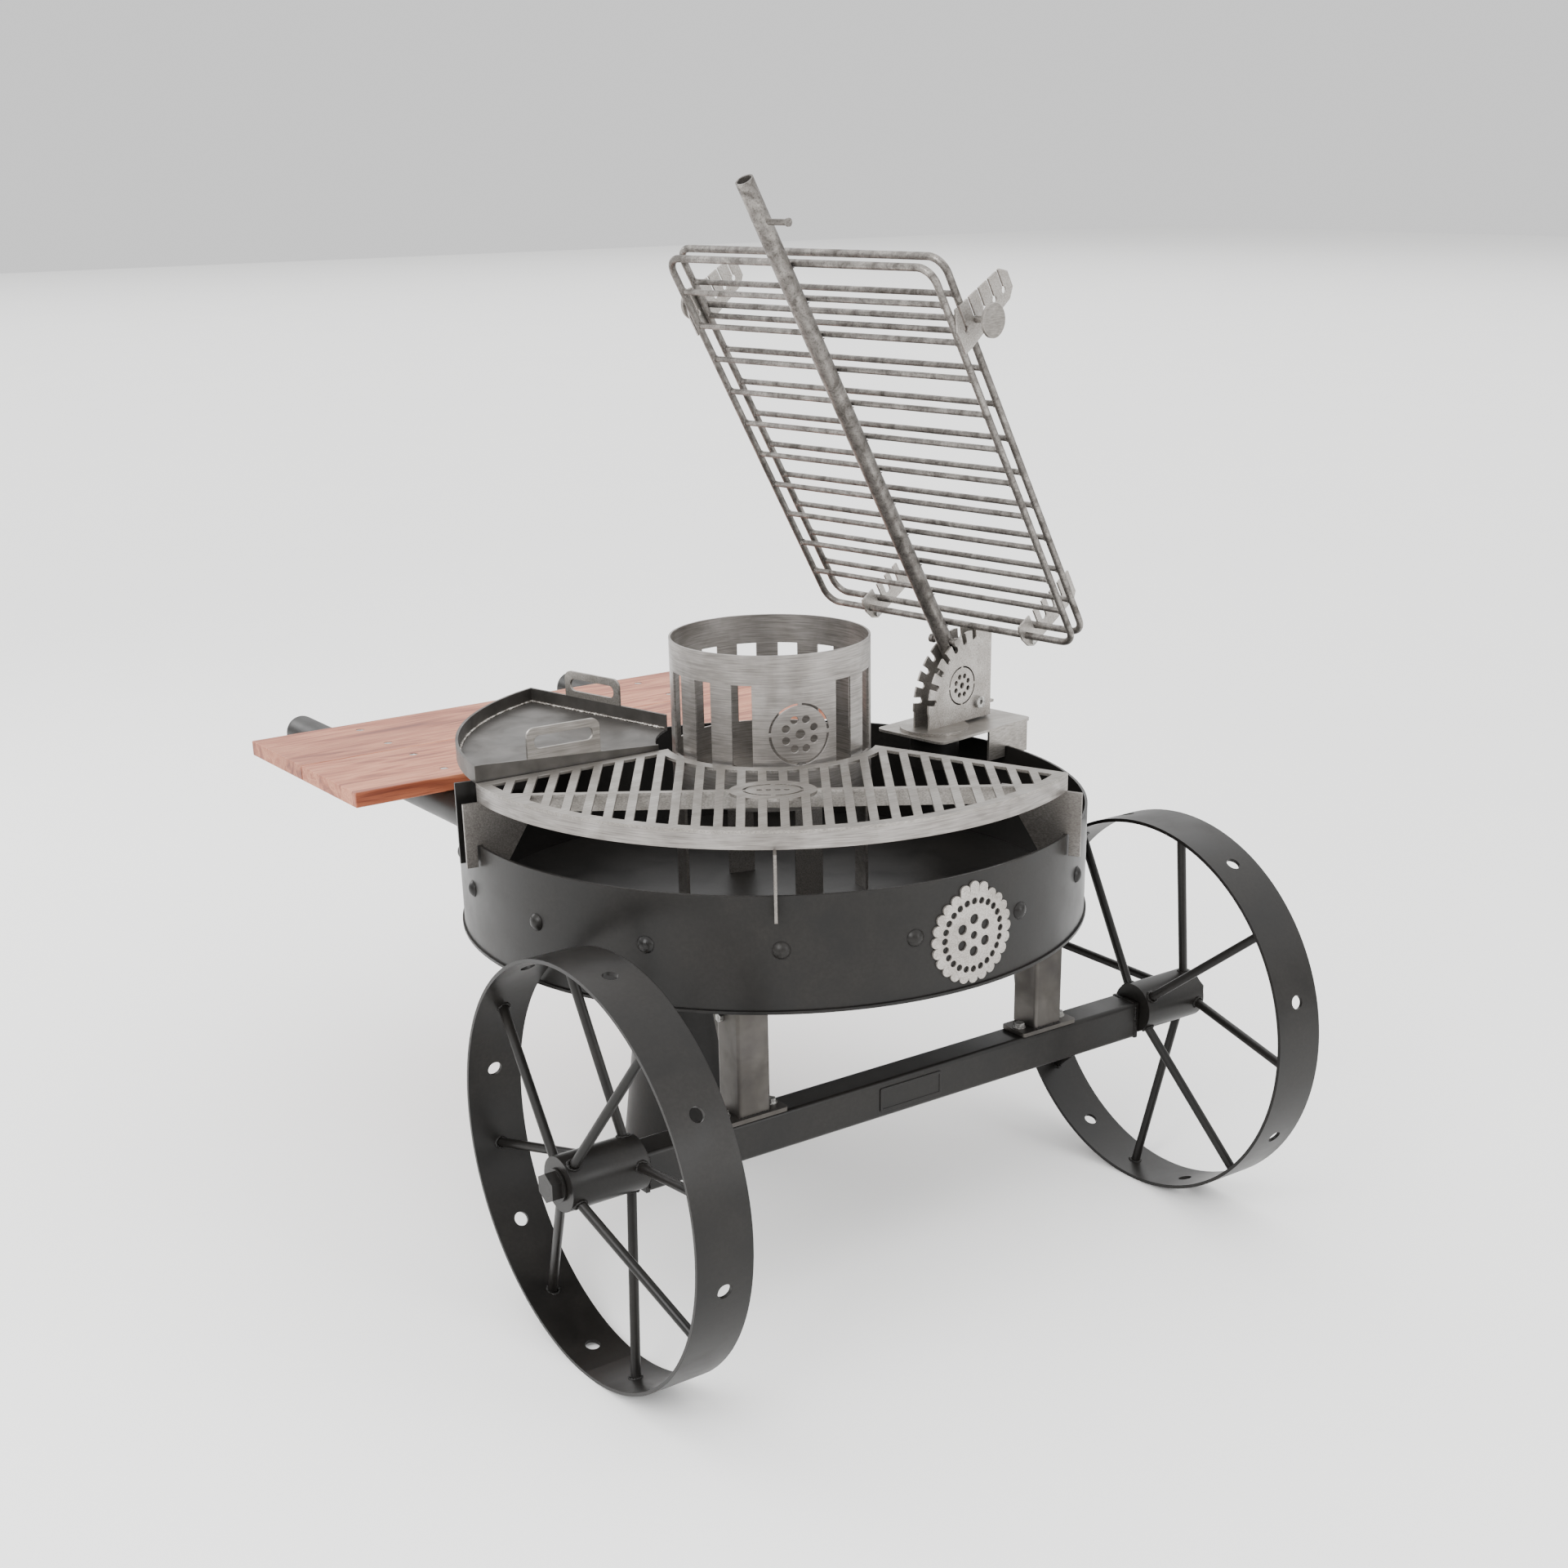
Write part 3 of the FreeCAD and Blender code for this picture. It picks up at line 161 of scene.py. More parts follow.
class Shader:
    """A material being built from procedural nodes in object coordinates."""

    def __init__(self, name: str) -> None:
        """Make an empty material with a principled shader.

        Args:
            name: The material's name.
        """
        self.material = bpy.data.materials.new(name)
        self.material.use_nodes = True
        self.tree = self.material.node_tree
        self.tree.nodes.clear()
        self.surface = add_node(self.tree, "ShaderNodeBsdfPrincipled")
        add_node(self.tree, "ShaderNodeOutputMaterial", links={"Surface": self.surface.outputs["BSDF"]})
        self.place = add_node(self.tree, "ShaderNodeTexCoord").outputs["Object"]

    def add(self, kind: str, output: Key, values: dict[Key, object] | None = None,
            links: dict[Key, Socket] | None = None, stops: list[tuple[float, Colour]] | None = None,
            **settings: object) -> Socket:
        """Add a node and pick one of its outputs.

        Args:
            kind: The node's type.
            output: The wanted output, by name or number.
            values: Values of its inputs.
            links: Outputs that feed its inputs.
            stops: Stops of a colour ramp.
            **settings: Its other properties.

        Returns:
            The output.
        """
        return add_node(self.tree, kind, values, links, stops, **settings).outputs[output]

    def stained(self, colour: Socket, pattern: Socket, stops: list[tuple[float, Colour]],
                strength: tuple[float, float]) -> Socket:
        """Darken a colour where a pattern leaves a stain.

        Args:
            colour: The clean colour.
            pattern: The noise that the stain follows.
            stops: Colours of the stain along the noise.
            strength: How strongly it shows at the low and high end of the noise.

        Returns:
            The stained colour.
        """
        stain = self.add("ShaderNodeValToRGB", "Color", links={"Fac": pattern}, stops=stops)
        amount = self.add("ShaderNodeMapRange", "Result", span_values(*strength), {"Value": pattern})
        return self.add("ShaderNodeMix", MIX_RESULT,
                        links={MIX_FACTOR: amount, MIX_FIRST: colour, MIX_SECOND: stain},
                        data_type="RGBA", blend_type="MULTIPLY")

    def relief(self, height: Socket, depth_mm: float, strength: float, edge_mm: float = 0.0) -> Socket:
        """Bump the surface, with its edges softened.

        Args:
            height: The height pattern.
            depth_mm: How deep the pattern is, in millimetres.
            strength: How strongly it shows.
            edge_mm: Radius of the softened edges, in millimetres.

        Returns:
            The normal.
        """
        links = {"Height": height}
        if edge_mm > 0:
            links["Normal"] = self.add("ShaderNodeBevel", "Normal", {"Radius": edge_mm * MM}, samples=4)
        return self.add("ShaderNodeBump", "Normal", {"Distance": depth_mm * MM, "Strength": strength}, links)

    def finish(self, links: dict[Key, Socket], values: dict[Key, object] | None = None) -> bpy.types.Material:
        """Feed the surface.

        Args:
            links: Outputs that feed the surface's inputs.
            values: Values of its other inputs.

        Returns:
            The finished material.
        """
        for key, source in links.items():
            self.tree.links.new(source, self.surface.inputs[key])
        for key, value in (values or {}).items():
            self.surface.inputs[key].default_value = value
        return self.material


# ---- finishes --------------------------------------------------------------------------
WHITE = srgb("#FFFFFF")


@dataclass(frozen=True)
class Finish:
    """A named surface finish.

    Attributes:
        name: The material's name.
    """

    name: str

    def build(self) -> bpy.types.Material:
        """Make the material.

        Returns:
            The finished material.
        """
        raise NotImplementedError


@dataclass(frozen=True)
class BrushedSteel(Finish):
    """Steel with fine brushing and faint handling smudges.

    Attributes:
        light: Colour of the bright streaks.
        dark: Colour of the dull streaks.
        smudge: Tint of a smudge.
        grain: Direction of the brushing.
        streak_mm: Width of a streak.
        smudge_mm: Size of a smudge.
        roughness: Mean roughness.
        roughness_swing: How far smudges change it.
        metallic: How metallic the surface is.
    """

    light: str = "#A09C97"
    dark: str = "#7B7772"
    smudge: str = "#C9C6C2"
    grain: Grain = Grain.ALONG_X
    streak_mm: float = 1.6
    smudge_mm: float = 55.0
    roughness: float = 0.40
    roughness_swing: float = 0.07
    metallic: float = 0.85

    def build(self) -> bpy.types.Material:
        """Make the material.

        Returns:
            The finished material.
        """
        shader = Shader(self.name)
        # The brushing draws the light out into long thin lines.
        along = shader.add("ShaderNodeMapping", "Vector", {"Scale": self.grain.value},
                           {"Vector": shader.place})
        streak = shader.add("ShaderNodeTexNoise", "Fac", noise_values(self.streak_mm, detail=3.0),
                            {"Vector": along})
        smudge = shader.add("ShaderNodeTexNoise", "Fac",
                            noise_values(self.smudge_mm, detail=3.0, distortion=0.6),
                            {"Vector": shader.place})
        colour = shader.add("ShaderNodeValToRGB", "Color", links={"Fac": streak},
                            stops=[(0.30, srgb(self.dark)), (0.68, srgb(self.light))])
        tinted = shader.stained(colour, smudge, [(0.32, srgb(self.smudge)), (0.60, WHITE)], (0.55, 0.85))
        swing = span_values(self.roughness + self.roughness_swing, self.roughness - self.roughness_swing)
        rough = shader.add("ShaderNodeMapRange", "Result", swing, {"Value": smudge})
        normal = shader.relief(streak, 0.05, 0.25, edge_mm=0.6)
        return shader.finish({"Base Color": tinted, "Roughness": rough, "Normal": normal},
                             {"Metallic": self.metallic})


@dataclass(frozen=True)
class WornSteel(Finish):
    """Bar steel with dark mill scale and rubbed bright patches.

    Attributes:
        bright: Colour where it is rubbed.
        middle: Colour of most of the surface.
        scale: Colour of the scale.
        speck: Tint of a speck.
        patch_mm: Size of a patch.
        speck_mm: Size of a speck.
        roughness: Mean roughness.
        metallic: How metallic the surface is.
    """

    bright: str = "#8F8B86"
    middle: str = "#75716D"
    scale: str = "#57534F"
    speck: str = "#B0ACA9"
    patch_mm: float = 22.0
    speck_mm: float = 2.4
    roughness: float = 0.44
    metallic: float = 0.75

    def build(self) -> bpy.types.Material:
        """Make the material.

        Returns:
            The finished material.
        """
        shader = Shader(self.name)
        # Scale dulls the bar in patches, and rubbing leaves the rest brighter and smoother.
        patch = shader.add("ShaderNodeTexNoise", "Fac",
                           noise_values(self.patch_mm, detail=6.0, roughness=0.62, distortion=0.8),
                           {"Vector": shader.place})
        speck = shader.add("ShaderNodeTexNoise", "Fac", noise_values(self.speck_mm), {"Vector": shader.place})
        stops = [(0.36, srgb(self.scale)), (0.50, srgb(self.middle)), (0.66, srgb(self.bright))]
        colour = shader.add("ShaderNodeValToRGB", "Color", links={"Fac": patch}, stops=stops)
        tinted = shader.stained(colour, speck, [(0.34, srgb(self.speck)), (0.50, WHITE)], (0.8, 0.5))
        rough = shader.add("ShaderNodeMapRange", "Result",
                           span_values(self.roughness + 0.14, self.roughness - 0.10), {"Value": patch})
        normal = shader.relief(speck, 0.12, 0.35, edge_mm=0.5)
        return shader.finish({"Base Color": tinted, "Roughness": rough, "Normal": normal},
                             {"Metallic": self.metallic})


@dataclass(frozen=True)
class SatinPaint(Finish):
    """Sprayed paint with a faint orange peel and a little dust.

    Attributes:
        deep: Main colour.
        dusty: Colour where dust has settled.
        fleck: Tint of a fleck.
        roughness: Mean roughness.
        specular: Strength of the clear reflection.
        cloud_mm: Size of a dusty cloud.
        fleck_mm: Size of a fleck.
        peel_mm: Size of the orange peel.
        peel_depth_mm: Depth of the orange peel.
    """

    deep: str = "#131211"
    dusty: str = "#1E1C1A"
    fleck: str = "#D4D2D0"
    roughness: float = 0.36
    specular: float = 0.22
    cloud_mm: float = 90.0
    fleck_mm: float = 5.0
    peel_mm: float = 1.8
    peel_depth_mm: float = 0.05

    def build(self) -> bpy.types.Material:
        """Make the material.

        Returns:
            The finished material.
        """
        shader = Shader(self.name)
        # The peel breaks up the edge of each reflection.
        cloud = shader.add("ShaderNodeTexNoise", "Fac",
                           noise_values(self.cloud_mm, detail=5.0, distortion=0.4),
                           {"Vector": shader.place})
        peel = shader.add("ShaderNodeTexNoise", "Fac", noise_values(self.peel_mm, detail=2.0),
                          {"Vector": shader.place})
        fleck = shader.add("ShaderNodeTexNoise", "Fac",
                           noise_values(self.fleck_mm, detail=5.0, roughness=0.7),
                           {"Vector": shader.place})
        colour = shader.add("ShaderNodeValToRGB", "Color", links={"Fac": cloud},
                            stops=[(0.34, srgb(self.deep)), (0.70, srgb(self.dusty))])
        flecks = shader.add("ShaderNodeValToRGB", "Color", links={"Fac": fleck},
                            stops=[(0.40, srgb(self.fleck)), (0.62, WHITE)])
        amount = shader.add("ShaderNodeMapRange", "Result", span_values(0.3, 0.9), {"Value": cloud})
        tinted = shader.add("ShaderNodeMix", MIX_RESULT,
                            links={MIX_FACTOR: amount, MIX_FIRST: colour, MIX_SECOND: flecks},
                            data_type="RGBA", blend_type="MULTIPLY")
        rough = shader.add("ShaderNodeMapRange", "Result",
                           span_values(self.roughness - 0.06, self.roughness + 0.08), {"Value": cloud})
        normal = shader.relief(peel, self.peel_depth_mm, 0.3, edge_mm=1.0)
        return shader.finish({"Base Color": tinted, "Roughness": rough, "Normal": normal},
                             {"Specular IOR Level": self.specular})


@dataclass(frozen=True)
class OiledWood(Finish):
    """Reddish hardwood with long grain, fine pores and soft dark bands.

    Attributes:
        offset: Shift of the pattern, so that no two boards match.
        pale: Lightest colour.
        warm: Main colour.
        dark: Colour of the late wood.
        pore: Colour of the pores.
        shade: Tint of the broad dark bands.
        band_mm: Width of a growth band.
        fibre_mm: Width of a fibre.
        tone_mm: Size of a broad band.
    """

    offset: float = 0.0
    pale: str = "#BE7F60"
    warm: str = "#A35E42"
    dark: str = "#7A3D29"
    pore: str = "#5A2C1E"
    shade: str = "#C4B4AA"
    band_mm: float = 34.0
    fibre_mm: float = 1.5
    tone_mm: float = 160.0

    def _board(self, shader: Shader, stretch: tuple[float, float, float]) -> Socket:
        """Coordinates drawn out along the board.

        Args:
            shader: The material being built.
            stretch: Factor along X, Y and Z.

        Returns:
            The coordinates.
        """
        return shader.add("ShaderNodeMapping", "Vector",
                          {"Scale": stretch, "Location": (self.offset, self.offset, self.offset)},
                          {"Vector": shader.place})

    def build(self) -> bpy.types.Material:
        """Make the material.

        Returns:
            The finished material.
        """
        shader = Shader(self.name)
        # Growth bands run the length of the board, with darker pores between the fibres.
        band = shader.add("ShaderNodeTexNoise", "Fac",
                          noise_values(self.band_mm, detail=5.0, roughness=0.5, distortion=1.4),
                          {"Vector": self._board(shader, (0.10, 1.0, 1.0))})
        fibre = shader.add("ShaderNodeTexNoise", "Fac", noise_values(self.fibre_mm, roughness=0.6),
                           {"Vector": self._board(shader, (0.025, 1.0, 1.0))})
        tone = shader.add("ShaderNodeTexNoise", "Fac", noise_values(self.tone_mm, detail=2.0),
                          {"Vector": self._board(shader, (0.35, 0.8, 1.0))})
        stops = [(0.30, srgb(self.dark)), (0.44, srgb(self.warm)), (0.56, srgb(self.pale)),
                 (0.63, srgb(self.warm)), (0.74, srgb(self.dark))]
        colour = shader.add("ShaderNodeValToRGB", "Color", links={"Fac": band}, stops=stops)
        grained = shader.stained(colour, fibre, [(0.34, srgb(self.pore)), (0.50, WHITE)], (0.55, 0.25))
        toned = shader.stained(grained, tone, [(0.34, srgb(self.shade)), (0.66, WHITE)], (0.7, 0.5))
        rough = shader.add("ShaderNodeMapRange", "Result", span_values(0.58, 0.44), {"Value": fibre})
        normal = shader.relief(fibre, 0.15, 0.3, edge_mm=0.8)
        return shader.finish({"Base Color": toned, "Roughness": rough, "Normal": normal})


@dataclass(frozen=True)
class MattRubber(Finish):
    """Black moulded rubber.

    Attributes:
        deep: Main colour.
        grey: Colour of the bloom on it.
        bloom_mm: Size of a patch of bloom.
        grit_mm: Size of the mould's texture.
    """

    deep: str = "#161514"
    grey: str = "#262423"
    bloom_mm: float = 14.0
    grit_mm: float = 0.8

    def build(self) -> bpy.types.Material:
        """Make the material.

        Returns:
            The finished material.
        """
        shader = Shader(self.name)
        # Rubber scatters light, so it has no clear reflection.
        bloom = shader.add("ShaderNodeTexNoise", "Fac", noise_values(self.bloom_mm, detail=5.0),
                           {"Vector": shader.place})
        grit = shader.add("ShaderNodeTexNoise", "Fac", noise_values(self.grit_mm), {"Vector": shader.place})
        colour = shader.add("ShaderNodeValToRGB", "Color", links={"Fac": bloom},
                            stops=[(0.36, srgb(self.deep)), (0.66, srgb(self.grey))])
        rough = shader.add("ShaderNodeMapRange", "Result", span_values(0.55, 0.75), {"Value": bloom})
        normal = shader.relief(grit, 0.08, 0.3)
        return shader.finish({"Base Color": colour, "Roughness": rough, "Normal": normal})


@dataclass(frozen=True)
class StudioPaper(Finish):
    """The pale seamless floor.

    Attributes:
        tone: Its colour.
        paler: Its colour where it is a little paler.
        cloud_mm: Size of a paler patch.
    """

    tone: str = "#F4F4F3"
    paler: str = "#F7F7F6"
    cloud_mm: float = 700.0

    def build(self) -> bpy.types.Material:
        """Make the material.

        Returns:
            The finished material.
        """
        shader = Shader(self.name)
        # Matt paper shows soft shadows and no reflection.
        cloud = shader.add("ShaderNodeTexNoise", "Fac", noise_values(self.cloud_mm, detail=2.0),
                           {"Vector": shader.place})
        colour = shader.add("ShaderNodeValToRGB", "Color", links={"Fac": cloud},
                            stops=[(0.0, srgb(self.tone)), (1.0, srgb(self.paler))])
        return shader.finish({"Base Color": colour}, {"Roughness": 0.9})


class Paintbox:
    """Gives every node of the frame, and every added piece, its finish."""

    def __init__(self) -> None:
        """Build each finish once."""
        self.black = SatinPaint("black_paint").build()
        self.bolt_black = SatinPaint("black_bolt", roughness=0.34, peel_mm=1.0, peel_depth_mm=0.03).build()
        self.plate = BrushedSteel("stainless_plate", grain=Grain.ALONG_X).build()
        self.side = BrushedSteel("stainless_side", grain=Grain.ALONG_Y, light="#8E8A86",
                                 dark="#6E6A66").build()
        self.rolled = BrushedSteel("stainless_rolled", grain=Grain.AROUND, light="#9C9894",
                                   dark="#777370", roughness=0.36).build()
        self.crest = BrushedSteel("stainless_crest", grain=Grain.EVEN, light="#BAB6B1",
                                  dark="#8A8580", roughness=0.45).build()
        self.leg = BrushedSteel("bare_leg", grain=Grain.EVEN, light="#575450", dark="#454240",
                                streak_mm=60.0, roughness=0.46).build()
        self.pan = BrushedSteel("griddle_steel", grain=Grain.EVEN, light="#5E5B58", dark="#4A4845",
                                streak_mm=45.0, smudge_mm=70.0, roughness=0.46).build()
        self.worn = WornSteel("worn_steel").build()
        self.bead = WornSteel("weld_bead", bright="#C8C4BF", middle="#9C9791", scale="#6B6661",
                              patch_mm=7.0, roughness=0.38).build()
        self.zinc = WornSteel("zinc", bright="#C4C3C0", middle="#A2A19E", scale="#7B7977",
                              patch_mm=9.0, roughness=0.36).build()
        self.rubber = MattRubber("rubber").build()
        self.boards = [OiledWood("wood_front", offset=0.13).build(),
                       OiledWood("wood_rear", offset=0.71).build()]
        self.paper = StudioPaper("studio_paper").build()

    def finish_of(self, node: str, slot: str) -> bpy.types.Material:
        """Choose the material of one node.

        Args:
            node: The node's name.
            slot: The record's slot for it.

        Returns:
            The material.
        """
        by_node = {"shelf_plank_front": self.boards[0], "shelf_plank_rear": self.boards[1],
                   "basket_band_lower": self.rolled, "basket_band_upper": self.rolled,
                   "basket_panel": self.rolled, "basket_bars": self.rolled,
                   "basket_legs": self.side, "grate_skirt": self.rolled,
                   "grate_hooks": self.side, "griddle_handles": self.plate, "bowl_badge": self.crest,
                   "quadrant_front": self.crest, "quadrant_back": self.crest,
                   "latch_plates": self.crest, "notch_brackets": self.crest}
        by_slot = {"black_paint": self.black, "black_steel": self.bolt_black, "bare_steel": self.leg,
                   "stainless": self.plate, "worn_steel": self.worn, "griddle_steel": self.pan,
                   "zinc": self.zinc, "black_rubber": self.rubber, "wood": self.boards[0]}
        return by_node.get(node, by_slot[slot])

    def paint_frame(self) -> None:
        """Put a finish on every node of the frame."""
        slots = {row["node"]: row["material_slot"] for row in frame["record"]["subparts"]}
        for name, obj in NODES.items():
            obj.data.materials.clear()
            obj.data.materials.append(self.finish_of(name, slots[name]))
            for polygon in obj.data.polygons:
                polygon.material_index = 0
        LOG.info("painted %d nodes", len(NODES))


# ---- weld beads ------------------------------------------------------------------------
@dataclass
class Bead:
    """One weld bead's path.

    Attributes:
        points: The path's points, in metres.
        closed: True if it runs round and meets itself.
    """

    points: list[Vector]
    closed: bool = False


def ring(centre: Vector, normal: Vector, radius: float, count: int = 20) -> Bead:
    """A round bead.

    Args:
        centre: Its middle, in metres.
        normal: The direction it goes round.
        radius: Its radius, in metres.
        count: Number of points on it.

    Returns:
        The closed path.
    """
    turn = normal.normalized().to_track_quat("Z", "X")
    points = []
    for k in range(count):
        angle = 2 * math.pi * k / count
        points.append(centre + turn @ Vector((radius * math.cos(angle), radius * math.sin(angle), 0)))
    return Bead(points, closed=True)


def path_mesh(name: str, beads: list[Bead]) -> bpy.types.Mesh:
    """Turn bead paths into a mesh of edges.

    Args:
        name: The mesh's name.
        beads: The paths.

    Returns:
        The mesh, with edges only.
    """
    points: list[Vector] = []
    edges: list[tuple[int, int]] = []
    for bead in beads:
        first = len(points)
        points.extend(bead.points)
        last = len(points) - 1
        edges.extend((k, k + 1) for k in range(first, last))
        if bead.closed:
            edges.append((last, first))
    mesh = bpy.data.meshes.new(name)
    mesh.from_pydata(points, edges, [])
    return mesh


class WeldGroup:
    """A geometry node group that lays overlapping drops of metal along edges."""

    INPUTS = {"Ripple Pitch": 2.2 * MM, "Bead Width": 2.6 * MM, "Bead Height": 0.55, "Unevenness": 0.22}
    SEED = 7
    SPIN = (0.5, 0.5, 6.28)

    def __init__(self) -> None:
        """Build the group once."""
        self.group = bpy.data.node_groups.new("weld_bead", "GeometryNodeTree")
        face = self.group.interface
        face.new_socket("Geometry", in_out="INPUT", socket_type="NodeSocketGeometry")
        for name, value in self.INPUTS.items():
            socket = face.new_socket(name, in_out="INPUT", socket_type="NodeSocketFloat")
            socket.default_value = value
        seed = face.new_socket("Seed", in_out="INPUT", socket_type="NodeSocketInt")
        seed.default_value = self.SEED
        face.new_socket("Material", in_out="INPUT", socket_type="NodeSocketMaterial")
        face.new_socket("Geometry", in_out="OUTPUT", socket_type="NodeSocketGeometry")
        self._wire()

    def _wire(self) -> None:
        """Join the nodes: path, drops, random size, real mesh, material."""
        tree = self.group
        source = add_node(tree, "NodeGroupInput").outputs
        curve = add_node(tree, "GeometryNodeMeshToCurve", links={"Mesh": source["Geometry"]})
        spread = add_node(tree, "GeometryNodeResampleCurve", mode="LENGTH",
                          links={"Curve": curve.outputs["Curve"], "Length": source["Ripple Pitch"]})
        drop = add_node(tree, "GeometryNodeMeshIcoSphere", {"Radius": 1.0, "Subdivisions": 2})
        spin = add_node(tree, "FunctionNodeRandomValue", {1: self.SPIN}, {"Seed": source["Seed"]},
                        data_type="FLOAT_VECTOR")
        low = add_node(tree, "ShaderNodeMath", {0: 1.0}, {1: source["Unevenness"]}, operation="SUBTRACT")
        high = add_node(tree, "ShaderNodeMath", {0: 1.0}, {1: source["Unevenness"]}, operation="ADD")
        size = add_node(tree, "FunctionNodeRandomValue", data_type="FLOAT",
                        links={2: low.outputs[0], 3: high.outputs[0], "Seed": source["Seed"]})
        width = add_node(tree, "ShaderNodeMath", operation="MULTIPLY",
                         links={0: size.outputs[1], 1: source["Bead Width"]}).outputs[0]
        flat = add_node(tree, "ShaderNodeMath", operation="MULTIPLY",
                        links={0: width, 1: source["Bead Height"]}).outputs[0]
        shape = add_node(tree, "ShaderNodeCombineXYZ", links={"X": width, "Y": width, "Z": flat})
        copies = add_node(tree, "GeometryNodeInstanceOnPoints",
                          links={"Points": spread.outputs["Curve"], "Instance": drop.outputs["Mesh"],
                                 "Rotation": spin.outputs[0], "Scale": shape.outputs["Vector"]})
        real = add_node(tree, "GeometryNodeRealizeInstances", links={"Geometry": copies.outputs["Instances"]})
        smooth = add_node(tree, "GeometryNodeSetShadeSmooth", links={"Geometry": real.outputs["Geometry"]})
        paint = add_node(tree, "GeometryNodeSetMaterial",
                         links={"Geometry": smooth.outputs["Geometry"], "Material": source["Material"]})
        add_node(tree, "NodeGroupOutput", links={"Geometry": paint.outputs["Geometry"]})

    def lay(self, name: str, beads: list[Bead], material: bpy.types.Material,
            width_mm: float = 2.6, pitch_mm: float = 2.2) -> bpy.types.Object:
        """Lay beads and keep them as one plain mesh.

        Args:
            name: The piece's name.
            beads: Where the beads run.
            material: Their finish.
            width_mm: Half the bead's width.
            pitch_mm: Distance between drops.

        Returns:
            The finished object.
        """
        carrier = bpy.data.objects.new(name + "_path", path_mesh(name + "_path", beads))
        bpy.context.scene.collection.objects.link(carrier)
        modifier = carrier.modifiers.new("weld", "NODES")
        modifier.node_group = self.group
        wanted = {"Ripple Pitch": pitch_mm * MM, "Bead Width": width_mm * MM, "Material": material}
        for item in self.group.interface.items_tree:
            if item.in_out == "INPUT" and item.name in wanted:
                modifier[item.identifier] = wanted[item.name]
        graph = bpy.context.evaluated_depsgraph_get()
        mesh = bpy.data.meshes.new_from_object(carrier.evaluated_get(graph))
        bpy.data.objects.remove(carrier)
        mesh.name = name
        piece = bpy.data.objects.new(name, mesh)
        bpy.context.scene.collection.objects.link(piece)
        mesh.materials.clear()
        mesh.materials.append(material)
        return piece


# ---- sub-assemblies --------------------------------------------------------------------
@dataclass
class Wheel:
    """Weld beads of one wheel.

    Attributes:
        side: -1 for the left wheel, 1 for the right.
        phase_deg: Angle of the first spoke, from +Y towards +Z.
        radius: Wheel radius, in metres.
        rim_thickness: Thickness of the rim's band.
        hub_radius: Radius of the hub's tube.
        spoke_radius: Radius of a spoke.
        spokes: Number of spokes.
        bead_gap: How far a bead stands off its spoke.
        rim_middle: Distance of the rim's middle from the cart's middle.
        hub_ends: Distances of the spoke roots from the cart's middle.
    """

    side: int
    phase_deg: float
    radius: float = 0.285
    rim_thickness: float = 0.005
    hub_radius: float = 0.037
    spoke_radius: float = 0.0065
    spokes: int = 8
    bead_gap: float = 0.0012
    rim_middle: float = 0.4885
    hub_ends: tuple[float, float] = (0.538, 0.4485)

    @property
    def word(self) -> str:
        """The side as a word."""
        return "left" if self.side < 0 else "right"

    def beads(self) -> list[Bead]:
        """Rings round both ends of every spoke.

        Returns:
            The bead paths.
        """
        found = []
        centre = Vector((0, 0, self.radius))
        for k in range(self.spokes):
            angle = math.radians(self.phase_deg + 360 / self.spokes * k)
            out = Vector((0, math.cos(angle), math.sin(angle)))
            root = centre + Vector((self.side * self.hub_ends[k % 2], 0, 0)) + out * self.hub_radius
            tip = centre + Vector((self.side * self.rim_middle, 0, 0))
            tip = tip + out * (self.radius - self.rim_thickness)
            found.append(ring(root, out, self.spoke_radius + self.bead_gap))
            found.append(ring(tip, out, self.spoke_radius + self.bead_gap))
        return found

    def build(self, welds: WeldGroup, box: Paintbox) -> None:
        """Add the beads and let them turn with the wheel.

        Args:
            welds: The bead maker.
            box: The finishes.
        """
        piece = welds.lay("welds_wheel_" + self.word, self.beads(), box.black)
        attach(piece, "wheel_" + self.word)


